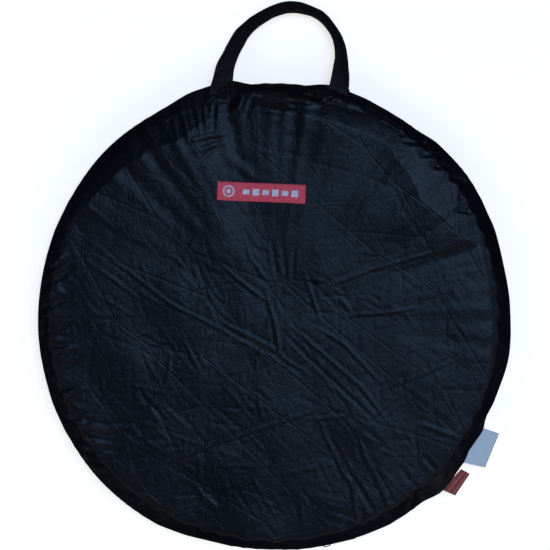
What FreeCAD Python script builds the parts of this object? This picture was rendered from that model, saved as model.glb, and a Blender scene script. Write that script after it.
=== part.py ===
"""A collapsible reflector disc, folded to three loops and zipped into its round carry case.

Millimetres. The case lies on its back face: +Z is up through the front face, +Y points
from the folding foot of the case to its handle, and the origin is the centre of the back face.
"""
import FreeCAD, Part
import math
import os
import Sketcher

from FreeCAD import Placement, Rotation, Vector

doc = FreeCAD.newDocument("reflector_in_case")

# ---------------------------------------------------------------- driving dimensions

SIZES = {
    # the case
    "rim_radius": 270.0,        # seams that join the panels to the side wall
    "case_depth": 50.0,
    "flat_radius": 244.0,       # where each panel starts to fall away over the hoop
    "shoulder_drop": 14.0,      # from the face down to the rim seam
    "cloth": 1.2,
    "seam_step": 0.7,           # from the shoulder's lower edge to the side wall's flange
    "wall_radius": 264.5,       # outside of the side wall, drawn in between the seams
    "wall_edge": 5.5,           # from the wall's folded edge to the middle of the zip chain
    "binding_width": 3.0,       # the bound seam allowance, inside the wall
    "binding_rise": 1.2,
    "foot_half_angle": 11.0,    # half of the unzipped stretch at the foot
    # the zip
    "tape": 0.6,
    "tape_in": 8.4,             # how far a tape reaches from the middle of the chain
    "coil": 2.2,
    "chain_gap": 0.8,           # half the space between the two coils
    "slider_park_angle": 13.0,  # from the foot to the parked slider
    "open_chain_angle": 15.6,   # where the front half of the chain begins
    "slider_length": 14.0,
    "slider_width": 10.8,
    "slider_plate": 1.2,
    "crown_hole": 2.2,
    "crown_bar": 1.0,
    "pull_thickness": 1.2,
    "pull_length": 34.0,
    "pull_width": 9.0,
    # the handle
    "handle_pivot_y": 262.0,
    "handle_pivot_z": 44.2,
    "handle_fall": 22.0,        # degrees that the strap falls away below level
    "handle_thickness": 3.0,
    "anchor_width": 26.0,
    "anchor_thickness": 1.6,
    # labels
    "patch_length": 100.0,
    "patch_height": 21.5,
    "patch_thickness": 0.8,
    "print_thickness": 0.2,
    "size_tag_length": 45.0,
    "size_tag_width": 27.0,
    "maker_tag_length": 31.0,
    "maker_tag_width": 21.0,
    "tag_thickness": 1.0,
    # the folded reflector
    "outer_loop_radius": 251.0,
    "middle_loop_radius": 256.0,
    "loop_pitch": 14.3,
    "hem_width": 7.0,
    "hem_height": 13.0,
    "hem_bore_width": 3.4,
    "hem_bore_height": 7.4,
    "band_width": 1.2,
    "band_height": 5.0,
    "ferrule_width": 2.6,
    "ferrule_height": 6.4,
    "ferrule_length": 30.0,
    "leaf_thickness": 6.3,
    "hang_loop_length": 30.0,
    "hang_loop_width": 14.0,
    "hang_loop_thickness": 1.4,
}

sheet = doc.addObject("Spreadsheet::Sheet", "sizes")
for row, (word, value) in enumerate(SIZES.items(), start=1):
    sheet.set(f"A{row}", word)
    sheet.set(f"B{row}", str(value))
    sheet.setAlias(f"B{row}", word)
doc.recompute()

MIDDLE = "sizes.case_depth / 2"
FOOT = -90.0                    # azimuth of the folding foot, in degrees from +X
PARTS = []                      # every sub-part, in the order it is written


def size(word):
    return float(sheet.get(word))


def part(obj, label):
    """Takes an object of the document as a finished sub-part."""
    obj.Label = label
    PARTS.append(obj)
    return obj


def turned(degrees, x=0.0, y=0.0, z=0.0):
    return Placement(Vector(x, y, z), Rotation(Vector(0, 0, 1), degrees))


# ---------------------------------------------------------------- revolved pieces

def plane_of(body, role):
    return next(f for f in body.Origin.OriginFeatures if f.Role == role)


def new_sketch(body, role, name):
    sketch = body.newObject("Sketcher::SketchObject", name)
    sketch.AttachmentSupport = (plane_of(body, role), [""])
    sketch.MapMode = "FlatFace"
    return sketch


def bind(sketch, constraint, name, expression):
    """Adds a driving constraint and ties it to the sheet."""
    index = sketch.addConstraint(constraint)
    sketch.renameConstraint(index, name)
    sketch.setExpression(f"Constraints.{name}", expression)


def closed_outline(sketch, corners, prefix=""):
    """Draws a polygon whose corners are pairs of expressions, across and up."""
    first = sketch.GeometryCount
    count = len(corners)
    for i in range(count):
        a = 2 * math.pi * i / count
        b = 2 * math.pi * (i + 1) / count
        sketch.addGeometry(Part.LineSegment(Vector(60 + 9 * math.cos(a), 60 + 9 * math.sin(a), 0),
                                            Vector(60 + 9 * math.cos(b), 60 + 9 * math.sin(b), 0)))
    for i in range(count):
        following = first + (i + 1) % count
        sketch.addConstraint(Sketcher.Constraint("Coincident", first + i, 2, following, 1))
    for i, (across, up) in enumerate(corners):
        bind(sketch, Sketcher.Constraint("DistanceX", -1, 1, first + i, 1, 60.0), f"{prefix}x{i}", across)
        bind(sketch, Sketcher.Constraint("DistanceY", -1, 1, first + i, 1, 60.0), f"{prefix}y{i}", up)


def revolve(body, sketch, sweep="360"):
    turn = body.newObject("PartDesign::Revolution", "Revolution")
    turn.Profile = sketch
    turn.ReferenceAxis = (sketch, ["V_Axis"])
    turn.setExpression("Angle", sweep)
    body.Tip = turn
    return turn


def revolved(name, outlines, sweep="360", start=0.0):
    """A body turned about the case's axis from one or more closed outlines."""
    body = doc.addObject("PartDesign::Body", name)
    sketch = new_sketch(body, "XZ_Plane", f"{name}_section")
    for number, corners in enumerate(outlines):
        closed_outline(sketch, corners, f"w{number}" if number else "")
    revolve(body, sketch, sweep)
    body.Placement = turned(start)
    return body


def rectangle(inner, outer, low, high):
    return [(inner, low), (outer, low), (outer, high), (inner, high)]


def disc(name, radius, low, high):
    """A solid round plate centred on the case's axis."""
    plate = doc.addObject("Part::Cylinder", name)
    plate.setExpression("Radius", radius)
    plate.setExpression("Height", f"{high} - ({low})")
    plate.setExpression("Placement.Base.z", low)
    return plate


def ring(name, inner, outer, low, high, sweep="360", start=0.0):
    return revolved(name, [rectangle(inner, outer, low, high)], sweep, start)


# ---------------------------------------------------------------- the case, half by half

class Half:
    """Heights for the rear half as they are, and for the front half mirrored at mid depth."""

    def __init__(self, word, front):
        self.word = word
        self.front = front

    def at(self, height):
        return f"sizes.case_depth - ({height})" if self.front else height

    def span(self, low, high):
        return (self.at(high), self.at(low)) if self.front else (low, high)


def shoulder(name, half, thickness_in, thickness_out, sweep="360", start=0.0, whole=True,
             from_angle=0.0, to_angle=0.0):
    """The band of cloth that rolls over the hoop, as a circular arc tangent to the panel.

    The arc's centre and radius follow from the drop and from the width of the shoulder.
    With whole False, only the stretch between two angles from the vertical is made.
    """
    across = size("rim_radius") - size("flat_radius")
    drop = size("shoulder_drop")
    radius = (across ** 2 + drop ** 2) / (2 * drop)
    radius_words = ("((sizes.rim_radius - sizes.flat_radius)^2 + sizes.shoulder_drop^2)"
                    " / (2 * sizes.shoulder_drop)")
    sign = 1 if half.front else -1
    centre_z = size("case_depth") - radius if half.front else radius
    centre = Vector(size("flat_radius"), centre_z, 0)
    lean = math.degrees(math.asin(across / radius))
    begin, finish = (0.0, lean) if whole else (from_angle, to_angle)

    def point(r, angle):
        a = math.radians(angle)
        return centre + Vector(r * math.sin(a), sign * r * math.cos(a), 0)

    def arc(r):
        middle = point(r, (begin + finish) / 2)
        return Part.Arc(point(r, begin), middle, point(r, finish))

    inner, outer = radius - thickness_in, radius + thickness_out
    body = doc.addObject("PartDesign::Body", name)
    sketch = new_sketch(body, "XZ_Plane", f"{name}_section")
    sketch.addGeometry([arc(inner), arc(outer),
                        Part.LineSegment(point(inner, begin), point(outer, begin)),
                        Part.LineSegment(point(inner, finish), point(outer, finish))])
    # the end of an arc that lies on the earlier side depends on which way it runs
    early, late = (2, 1) if half.front else (1, 2)
    join = [(0, early, 2, 1), (1, early, 2, 2), (0, late, 3, 1), (1, late, 3, 2), (0, 3, 1, 3)]
    for a, a_end, b, b_end in join:
        sketch.addConstraint(Sketcher.Constraint("Coincident", a, a_end, b, b_end))
    bind(sketch, Sketcher.Constraint("DistanceX", -1, 1, 0, 3, centre.x), "across", "sizes.flat_radius")
    high = f"sizes.case_depth - {radius_words}" if half.front else radius_words
    bind(sketch, Sketcher.Constraint("DistanceY", -1, 1, 0, 3, centre.y), "height", high)
    bind(sketch, Sketcher.Constraint("Radius", 0, inner), "inner", f"{radius_words} - {thickness_in}")
    bind(sketch, Sketcher.Constraint("Radius", 1, outer), "outer", f"{radius_words} + {thickness_out}")
    for line, angle in ((2, begin), (3, finish)):
        sketch.addConstraint(Sketcher.Constraint("PointOnObject", 0, 3, line))
        sketch.addConstraint(Sketcher.Constraint("DistanceX", -1, 1, line, 2, point(outer, angle).x))
    revolve(body, sketch, sweep)
    body.Placement = turned(start)
    return body


def make_half(word, front):
    half = Half(word, front)
    cloth = size("cloth")

    low, high = half.span("0", "sizes.cloth")
    part(disc(f"{word}_panel", "sizes.flat_radius", low, high), f"{word}_panel")
    part(shoulder(f"{word}_shoulder", half, cloth, 0.0), f"{word}_shoulder")

    # side wall: an outward flange at the rim seam, then the wall down to its folded edge
    wall = "sizes.wall_radius"
    seam = "sizes.shoulder_drop"
    zip_sweep = "360 - 2 * sizes.foot_half_angle"
    zip_start = FOOT + size("foot_half_angle")

    flange = f"{seam} + sizes.seam_step"

    def wall_section(edge):
        rows = [(f"{wall} - sizes.cloth", flange), ("sizes.rim_radius", flange),
                ("sizes.rim_radius", f"{flange} + sizes.cloth"), (wall, f"{flange} + sizes.cloth"),
                (wall, edge), (f"{wall} - sizes.cloth", edge)]
        return [(across, half.at(up)) for across, up in rows]

    edge = f"{MIDDLE} - sizes.wall_edge"
    part(revolved(f"{word}_gusset", [wall_section(edge)], zip_sweep, zip_start), f"{word}_gusset")
    foot_edge = f"{MIDDLE} - 0.3"
    part(revolved(f"{word}_foot", [wall_section(foot_edge)], "2 * sizes.foot_half_angle - 0.2",
                  FOOT - size("foot_half_angle") + 0.1), f"{word}_foot")

    inside = f"{wall} - sizes.cloth"
    low, high = half.span(f"{flange} - sizes.binding_rise", f"{flange} + 1.8")
    part(ring(f"{word}_seam_binding", f"{inside} - sizes.binding_width", inside, low, high),
         f"{word}_seam_binding")

    # zip: the tape lies inside the wall and the coil stands on its outer side
    chain_sweep = "360 - 2 * sizes.open_chain_angle" if front else zip_sweep
    chain_start = FOOT + size("open_chain_angle" if front else "foot_half_angle")
    low, high = half.span(f"{MIDDLE} - sizes.tape_in", f"{MIDDLE} - sizes.chain_gap - 0.2")
    part(ring(f"{word}_zip_tape", f"{inside} - sizes.tape", inside, low, high, chain_sweep, chain_start),
         f"{word}_zip_tape")
    low, high = half.span(f"{MIDDLE} - sizes.chain_gap - sizes.coil", f"{MIDDLE} - sizes.chain_gap")
    part(ring(f"{word}_zip_coil", inside, f"{inside} + sizes.coil", low, high, chain_sweep, chain_start),
         f"{word}_zip_coil")


make_half("back", False)
make_half("front", True)

# ---------------------------------------------------------------- boxes and groups

def loose_box(name, length, width, height):
    """A block whose sizes are expressions and whose place is set afterwards."""
    block = doc.addObject("Part::Box", name)
    for key, words in (("Length", length), ("Width", width), ("Height", height)):
        block.setExpression(key, words)
    return block


def box(name, length, width, height, x, y, z):
    """A block with its sizes and its lowest corner given as expressions."""
    block = loose_box(name, length, width, height)
    for key, words in (("x", x), ("y", y), ("z", z)):
        block.setExpression(f"Placement.Base.{key}", words)
    return block


def group(name, members):
    """Separate solids kept together as one sub-part."""
    holder = doc.addObject("Part::Compound", name)
    holder.Links = members
    return holder


# stops crimped on both ends of the rear tape
STOP_LENGTH = 2.8
stop_angle = size("foot_half_angle") - math.degrees(STOP_LENGTH / size("wall_radius"))
stops = []
for side, start in (("start", FOOT + stop_angle), ("end", FOOT - size("foot_half_angle"))):
    stops.append(ring(f"stop_{side}", "sizes.wall_radius + 0.1", "sizes.wall_radius + 1.9",
                      f"{MIDDLE} - sizes.chain_gap - 3.0", f"{MIDDLE} - sizes.chain_gap",
                      str(round(math.degrees(STOP_LENGTH / size("wall_radius")), 3)), start))
part(group("zip_stops", stops), "zip_stops")

# ---------------------------------------------------------------- slider and pull

park = turned(FOOT + size("slider_park_angle"))
CHAIN = "sizes.wall_radius - sizes.cloth"       # the tapes' outer side, where the coils stand
OUTER_PLATE = f"{CHAIN} + sizes.coil + 0.7"
INNER_PLATE = f"{CHAIN} - sizes.tape - 0.6 - sizes.slider_plate"
CROWN = f"{OUTER_PLATE} + sizes.slider_plate"
HALF_WIDE = "sizes.slider_width / 2"


def make_slider():
    """Two plates either side of the chain, joined by a post that runs between the coils."""
    long, wide = "sizes.slider_length", "sizes.slider_width"
    y, z = "-sizes.slider_length / 2", f"{MIDDLE} - {HALF_WIDE}"
    pieces = [
        box("outer_plate", "sizes.slider_plate", long, wide, OUTER_PLATE, y, z),
        box("inner_plate", "sizes.slider_plate", long, wide, INNER_PLATE, y, z),
        box("post", f"{OUTER_PLATE} - ({INNER_PLATE})", "3", "1", INNER_PLATE,
            f"{y} + 0.5", f"{MIDDLE} - 0.5"),
        box("lower_lip", "1.3", long, "0.9", f"{OUTER_PLATE} - 1.1", y, f"{z} + 0.2"),
        box("upper_lip", "1.3", long, "0.9", f"{OUTER_PLATE} - 1.1", y, f"{MIDDLE} + {HALF_WIDE} - 1.1"),
        box("crown_bar", "sizes.crown_bar", "8", "2.4", f"{CROWN} + sizes.crown_hole", "-4",
            f"{MIDDLE} - 1.2"),
        box("crown_front_leg", "sizes.crown_hole + 0.4", "0.9", "2.4", f"{CROWN} - 0.2", "-4",
            f"{MIDDLE} - 1.2"),
        box("crown_rear_leg", "sizes.crown_hole + 0.4", "0.9", "2.4", f"{CROWN} - 0.2", "3.1",
            f"{MIDDLE} - 1.2"),
    ]
    body = doc.addObject("Part::MultiFuse", "zip_slider")
    body.Shapes = pieces
    body.Placement = park
    return body


def make_pull():
    """A flat tab whose end bar lies in the slider's crown; the window clears the crown's leg."""
    body = doc.addObject("PartDesign::Body", "zip_pull")
    sketch = new_sketch(body, "YZ_Plane", "zip_pull_outline")
    half, bar = "sizes.pull_width / 2", "sizes.pull_thickness / 2"
    shift = "20"                # keeps every dimension in the sketch positive
    closed_outline(sketch, [(f"{shift} - {bar}", f"{MIDDLE} - {half}"),
                            (f"{shift} + sizes.pull_length - 2.5", f"{MIDDLE} - {half}"),
                            (f"{shift} + sizes.pull_length", f"{MIDDLE} - {half} + 2.5"),
                            (f"{shift} + sizes.pull_length", f"{MIDDLE} + {half} - 2.5"),
                            (f"{shift} + sizes.pull_length - 2.5", f"{MIDDLE} + {half}"),
                            (f"{shift} - {bar}", f"{MIDDLE} + {half}")])
    closed_outline(sketch, rectangle(f"{shift} + {bar}", f"{shift} + 8.2",
                                     f"{MIDDLE} - {half} + 1.4", f"{MIDDLE} + {half} - 1.4"), "window_")
    pad = body.newObject("PartDesign::Pad", "Pad")
    pad.Profile = sketch
    pad.setExpression("Length", "sizes.pull_thickness")
    body.Tip = pad
    middle = size("wall_radius") - size("cloth") + size("coil") + 0.7 + size("slider_plate") \
        + size("crown_hole") / 2
    local = Placement(Vector(middle - size("pull_thickness") / 2, -20, 0), Rotation())
    body.Placement = park.multiply(local)
    return body


part(make_slider(), "zip_slider")
part(make_pull(), "zip_pull")

# ---------------------------------------------------------------- handle

# The strap's two legs and crown, in its own plane: across the case, and out from the pivot line.
STRAP_OUTSIDE = {"left": (-71.8, -57.0), "right": (84.9, 82.6), "crown": (18.5, 103.5)}
STRAP_INSIDE = {"left": (-47.0, -37.5), "right": (63.2, 70.0), "crown": (20.0, 90.5)}
LEG_LENGTH = 45.0


def make_strap():
    """A closed strap loop, flat in one plane that falls away from the rim to the floor."""
    body = doc.addObject("PartDesign::Body", "handle_strap")
    sketch = new_sketch(body, "XY_Plane", "handle_outline")
    for edge in (STRAP_OUTSIDE, STRAP_INSIDE):
        (left_foot, left_top), (right_foot, right_top) = edge["left"], edge["right"]
        crown = Vector(*edge["crown"], 0)
        left, right = Vector(left_top, LEG_LENGTH, 0), Vector(right_top, LEG_LENGTH, 0)
        sketch.addGeometry([Part.LineSegment(Vector(left_foot, 0, 0), left),
                            Part.Arc(left, crown, right),
                            Part.LineSegment(right, Vector(right_foot, 0, 0))])
    sketch.addGeometry([Part.LineSegment(Vector(STRAP_OUTSIDE["left"][0], 0, 0),
                                         Vector(STRAP_INSIDE["left"][0], 0, 0)),
                        Part.LineSegment(Vector(STRAP_INSIDE["right"][0], 0, 0),
                                         Vector(STRAP_OUTSIDE["right"][0], 0, 0))])
    pad = body.newObject("PartDesign::Pad", "Pad")
    pad.Profile = sketch
    pad.setExpression("Length", "sizes.handle_thickness")
    pad.SideType = "Symmetric"
    body.Tip = pad
    body.Placement = Placement(Vector(0, size("handle_pivot_y"), size("handle_pivot_z")),
                               Rotation(Vector(1, 0, 0), -size("handle_fall")))
    return body


part(make_strap(), "handle_strap")

# each end of the strap is sewn flat on the front shoulder
ANCHORS = {"handle_anchor_left": -59.5, "handle_anchor_right": 70.0}
ANCHOR_FROM, ANCHOR_TO = 8.0, 36.0              # degrees down the shoulder
for label, x in ANCHORS.items():
    sweep = math.degrees(size("anchor_width") / 255.0)
    azimuth = 90.0 - math.degrees(math.asin(x / 258.0))
    tab = shoulder(label, Half("front", True), 0.0, size("anchor_thickness"), str(round(sweep, 3)),
                   azimuth - sweep / 2, whole=False, from_angle=ANCHOR_FROM, to_angle=ANCHOR_TO)
    part(tab, label)

# ---------------------------------------------------------------- labels and tags

PATCH_CENTRE = (-14.0, 140.0)
PATCH_TURN = -2.9
patch_place = turned(PATCH_TURN, PATCH_CENTRE[0], PATCH_CENTRE[1], size("case_depth"))

patch = loose_box("brand_patch", "sizes.patch_length", "sizes.patch_height", "sizes.patch_thickness")
patch.Placement = patch_place.multiply(turned(0, -size("patch_length") / 2, -size("patch_height") / 2))
part(patch, "brand_patch")


def make_print():
    """A plain mark on the patch: a ring with a dot in it, then a row of short bars."""
    top = size("patch_thickness")
    thick = size("print_thickness")
    ring_outer, ring_inner, dot, mark_x = 6.5, 5.0, 2.4, -37.0
    bar_length, bar_height, bar_pitch, bars_x = 7.5, 5.0, 11.0, -21.0

    def puck(radius, x):
        return Part.makeCylinder(radius, thick, Vector(x, 0, top))

    solids = [puck(ring_outer, mark_x).cut(puck(ring_inner, mark_x)), puck(dot, mark_x)]
    for i in range(6):
        corner = Vector(bars_x + i * bar_pitch, -bar_height / 2, top)
        solids.append(Part.makeBox(bar_length, bar_height, thick, corner))
    feature = doc.addObject("Part::Feature", "patch_print")
    feature.Shape = Part.makeCompound(solids)
    feature.Placement = patch_place
    return feature


part(make_print(), "patch_print")


TAG_ROOT = 267.0                # how far out a tag's sewn edge lies
TAG_GAP = 0.1


def tag(name, azimuth, lean):
    """A woven tag caught under the front rim seam, standing out from the rim."""
    length, width = f"sizes.{name}_length", f"sizes.{name}_width"
    blade = loose_box(name, width, length, "sizes.tag_thickness")
    flange_low = size("case_depth") - size("shoulder_drop") - size("seam_step") - size("cloth")
    height = flange_low - TAG_GAP - size("tag_thickness")
    at_rim = turned(azimuth).multiply(turned(0, TAG_ROOT, 0, height))
    blade.Placement = at_rim.multiply(turned(lean)).multiply(turned(0, 0, -size(f"{name}_length") / 2))
    return blade


part(tag("size_tag", -33.0, 6.0), "size_tag")
part(tag("maker_tag", -43.0, -5.0), "maker_tag")

# ---------------------------------------------------------------- the folded reflector

LOOPS = (("lower", "sizes.outer_loop_radius", f"{MIDDLE} - sizes.loop_pitch"),
         ("middle", "sizes.middle_loop_radius", MIDDLE),
         ("upper", "sizes.outer_loop_radius", f"{MIDDLE} + sizes.loop_pitch"))


def around(radius, height, width, depth):
    """A rectangle centred on a loop's own line."""
    return rectangle(f"{radius} - {width} / 2", f"{radius} + {width} / 2",
                     f"{height} - {depth} / 2", f"{height} + {depth} / 2")


hems, bands, silver, white = [], [], [], []
for word, radius, height in LOOPS:
    hems.append(revolved(f"hem_{word}", [around(radius, height, "sizes.hem_width", "sizes.hem_height"),
                                         around(radius, height, "sizes.hem_bore_width",
                                                "sizes.hem_bore_height")]))
    bands.append(revolved(f"band_{word}", [around(radius, height, "sizes.band_width", "sizes.band_height")]))
    inner = f"{radius} - sizes.hem_width / 2"
    silver.append(disc(f"silver_{word}", inner, height, f"{height} + sizes.leaf_thickness"))
    white.append(disc(f"white_{word}", inner, f"{height} - sizes.leaf_thickness", height))

part(group("spring_band", bands), "spring_band")
part(group("rim_binding", hems), "rim_binding")
part(group("silver_face", silver), "silver_face")
part(group("white_face", white), "white_face")

ferrule_sweep = math.degrees(size("ferrule_length") / size("middle_loop_radius"))
FERRULE_AZIMUTH = 200.0
HANG_LOOP_AZIMUTH = 62.0
ferrule = revolved("band_ferrule",
                   [around("sizes.middle_loop_radius", MIDDLE, "sizes.ferrule_width", "sizes.ferrule_height"),
                    around("sizes.middle_loop_radius", MIDDLE, "(sizes.band_width + 0.2)",
                           "(sizes.band_height + 0.2)")],
                   str(round(ferrule_sweep, 3)), FERRULE_AZIMUTH - ferrule_sweep / 2)
part(ferrule, "band_ferrule")

rivets = []
for number, offset in enumerate((-2.0, 2.0), start=1):
    rivet = doc.addObject("Part::Cylinder", f"rivet_{number}")
    rivet.Radius = 1.2
    rivet.setExpression("Height", "sizes.ferrule_width + 0.5")
    out = size("middle_loop_radius") - (size("ferrule_width") + 0.5) / 2
    radial = Placement(Vector(out, 0, size("case_depth") / 2), Rotation(Vector(0, 1, 0), 90))
    rivet.Placement = turned(FERRULE_AZIMUTH + offset).multiply(radial)
    rivets.append(rivet)
part(group("ferrule_rivets", rivets), "ferrule_rivets")

hang_loop = loose_box("hanging_loop", "sizes.hang_loop_length", "sizes.hang_loop_width",
                      "sizes.hang_loop_thickness")
stack_top = size("case_depth") / 2 + size("loop_pitch") + size("hem_height") / 2
hang_loop.Placement = turned(HANG_LOOP_AZIMUTH).multiply(
    turned(0, size("outer_loop_radius") - size("hang_loop_length"), -size("hang_loop_width") / 2, stack_top))
part(hang_loop, "hanging_loop")

# ---------------------------------------------------------------- check and write

doc.recompute()
for obj in doc.Objects:
    if "Invalid" in obj.State or "Error" in obj.State:
        raise RuntimeError(f"{obj.Label} failed: {obj.State}")

os.makedirs("parts", exist_ok=True)
for obj in PARTS:
    shape = obj.Shape
    if shape.isNull() or not shape.isValid() or not shape.Solids:
        raise RuntimeError(f"{obj.Label} has no valid solid")
    shape.exportStep(f"parts/{obj.Label}.step")
    around_it = shape.BoundBox
    print(f"{obj.Label:22s} solids {len(shape.Solids)}  volume {shape.Volume / 1000:9.2f} cm3  "
          f"x {around_it.XMin:7.1f} {around_it.XMax:7.1f}  y {around_it.YMin:7.1f} {around_it.YMax:7.1f}  "
          f"z {around_it.ZMin:6.2f} {around_it.ZMax:6.2f}")
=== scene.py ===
"""A collapsible reflector disc zipped into its round nylon case, as cloth, zip, labels and folded reflector.

Heights and places are in millimetres until a mesh is finished, and metres in Blender. The case lies on
its back: +Z is up through the front face and +Y points from the folding foot to the handle.
"""
import math

import bmesh
import bpy
import numpy as np
from bpy.props import FloatProperty, FloatVectorProperty, IntProperty, PointerProperty
from mathutils import Matrix, Vector


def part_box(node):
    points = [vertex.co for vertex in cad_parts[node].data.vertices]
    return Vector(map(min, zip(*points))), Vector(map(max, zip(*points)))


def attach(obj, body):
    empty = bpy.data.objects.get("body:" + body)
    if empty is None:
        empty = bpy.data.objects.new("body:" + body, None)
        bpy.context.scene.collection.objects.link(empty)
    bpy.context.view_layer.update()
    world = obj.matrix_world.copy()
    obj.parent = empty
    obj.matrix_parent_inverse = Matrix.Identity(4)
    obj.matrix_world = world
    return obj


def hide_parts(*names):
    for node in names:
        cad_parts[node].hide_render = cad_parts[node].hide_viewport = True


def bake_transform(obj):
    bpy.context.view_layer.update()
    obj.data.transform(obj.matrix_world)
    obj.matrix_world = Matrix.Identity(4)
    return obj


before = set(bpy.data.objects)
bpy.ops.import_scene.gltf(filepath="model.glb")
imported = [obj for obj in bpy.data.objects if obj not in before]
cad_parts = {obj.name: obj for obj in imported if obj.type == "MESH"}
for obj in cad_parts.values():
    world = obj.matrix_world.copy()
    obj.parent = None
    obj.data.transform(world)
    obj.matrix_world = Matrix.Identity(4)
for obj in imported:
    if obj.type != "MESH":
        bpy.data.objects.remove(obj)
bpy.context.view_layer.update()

bl_info = {
    "name": "Reflector in its case",
    "version": (1, 0, 0),
    "blender": (4, 5, 0),
    "location": "View3D > Sidebar > Reflector",
    "description": "Builds the cloth, zip, labels and folded reflector round the packed model",
    "category": "Object",
}

MM = 0.001


def corners(node):
    """A CAD node's lowest and highest corner, in millimetres."""
    low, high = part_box(node)
    return np.array(low) / MM, np.array(high) / MM


# ------------------------------------------------------------------ places taken from the frame

RIM = corners("front_gusset")[1][0]
DEPTH = corners("front_panel")[1][2]
SEAM = corners("front_shoulder")[0][2]
WALL_EDGE = corners("front_gusset")[0][2]
MIDDLE = DEPTH / 2
TAPE_OUTSIDE = corners("front_zip_tape")[1][0]
COIL_OUTSIDE = corners("front_zip_coil")[1][0]
WALL = COIL_OUTSIDE - 1.0
FOOT_AZIMUTH = -90.0
FOOT_HALF = 11.0
LID_CHAIN_START = 15.6


# ------------------------------------------------------------------ sizes and colours a user may change

def linear(text):
    """An sRGB hex colour as linear RGBA."""
    parts = [int(text[i:i + 2], 16) / 255 for i in (1, 3, 5)]
    return tuple(c / 12.92 if c <= 0.04045 else ((c + 0.055) / 1.055) ** 2.4 for c in parts) + (1.0,)


def colour(name, text, description):
    return FloatVectorProperty(name=name, description=description, subtype="COLOR", size=4,
                               min=0.0, max=1.0, default=linear(text))


class ReflectorClothSettings(bpy.types.PropertyGroup):
    cover_cells: IntProperty(name="Cover cells", description="Cells across each cover of the case",
                             default=300, min=40, max=310)
    crease_strength: FloatProperty(name="Creases", description="How high the creases in the cloth stand",
                                   default=0.8, min=0.0, max=3.0)
    face_dip: FloatProperty(name="Face dip", description="How far each face sags between its hoops",
                            default=0.0025, unit="LENGTH", subtype="DISTANCE")
    strap_thickness: FloatProperty(name="Strap thickness", description="Thickness of the folded strap",
                                   default=0.0022, unit="LENGTH", subtype="DISTANCE")
    tooth_pitch: FloatProperty(name="Coil pitch", description="Distance from one turn of a zip coil to the next",
                               default=0.0018, unit="LENGTH", subtype="DISTANCE")
    stitch_pitch: FloatProperty(name="Stitch pitch", description="Distance from one stitch to the next",
                                default=0.0036, unit="LENGTH", subtype="DISTANCE")


class ReflectorColourSettings(bpy.types.PropertyGroup):
    nylon: colour("Nylon", "#07090d", "Coated nylon taffeta of the case")
    # painted sheen: a lighter navy laid in random broad patches on the cloth and the strap, standing in for their
    # sheen
    nylon_painted_sheen: colour("Nylon, painted sheen", "#0a0e15", "The same cloth where it is rubbed lighter")
    strap: colour("Strap", "#06080b", "Folded strap of the handle")
    tape: colour("Tape", "#0d0e11", "Zip tape and seam binding")
    coil: colour("Coil", "#17181b", "Zip coil")
    enamel: colour("Enamel", "#15161a", "Enamelled slider, pull and stops")
    steel: colour("Steel", "#9fa3a8", "Spring band and ferrule")
    silver: colour("Silver", "#d3d6da", "Metallised reflector face")
    white: colour("White", "#e9e9e6", "White reflector face")
    label: colour("Label", "#f64c60", "Woven satin label")
    label_print: colour("Label print", "#e6e2ee", "Pale weave of the label's mark")
    grey_tag: colour("Grey tag", "#cedeec", "Grey-blue satin tag")
    red_tag: colour("Red tag", "#8a2f2b", "Dark-red woven tag")
    floor: colour("Floor", "#f6f3ee", "Pale floor")


def sizes():
    return bpy.context.scene.reflector_sizes


def colours():
    return bpy.context.scene.reflector_colours


# ------------------------------------------------------------------ materials

def node(tree, kind, inputs=None, output=0, **settings):
    """Adds a node with its settings, links or sets its inputs, and gives one of its outputs."""
    made = tree.nodes.new("ShaderNode" + kind)
    for key, value in settings.items():
        setattr(made, key, value)
    for key, value in (inputs or {}).items():
        if isinstance(value, bpy.types.NodeSocket):
            tree.links.new(value, made.inputs[key])
        else:
            made.inputs[key].default_value = value
    return made.outputs[output]


def shader(name, **values):
    """A new material with one Principled shader: its tree, its shader, and the place on the object."""
    material = bpy.data.materials.new(name)
    material.use_nodes = True
    tree = material.node_tree
    surface = next(n for n in tree.nodes if n.type == "BSDF_PRINCIPLED")
    for key, value in values.items():
        surface.inputs[key.replace("_", " ")].default_value = value
    return material, tree, surface, node(tree, "TexCoord", output="Object")


def wave_scale(period_mm):
    """A Wave texture's scale for bands this far apart, on coordinates in metres."""
    return 2 * math.pi / (20 * period_mm * MM)


def threads_height(tree, place, warp_mm, weft_mm):
    """Two sets of threads at right angles, multiplied into a weave."""
    warp = node(tree, "TexWave", {"Vector": place, "Scale": wave_scale(warp_mm)}, 1, bands_direction="X")
    weft = node(tree, "TexWave", {"Vector": place, "Scale": wave_scale(weft_mm)}, 1, bands_direction="Y")
    return node(tree, "Math", {0: warp, 1: weft}, operation="MULTIPLY")


def two_shades(tree, surface, factor, low, high, first, second):
    """Colours the shader from one shade to another as a factor goes from low to high."""
    share = node(tree, "MapRange", {"Value": factor, "From Min": low, "From Max": high})
    tree.links.new(node(tree, "Mix", {0: share, 6: tuple(first), 7: tuple(second)}, 2, data_type="RGBA"),
                   surface.inputs["Base Color"])
    return share


def relief(tree, surface, *layers):
    """Stacks bumps on the shader, from the coarsest: each layer is (height, depth in mm, strength)."""
    below = None
    for height, depth, strength in layers:
        inputs = {"Height": height, "Distance": depth * MM, "Strength": strength}
        if below is not None:
            inputs["Normal"] = below
        below = node(tree, "Bump", inputs)
    tree.links.new(below, surface.inputs["Normal"])


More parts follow.
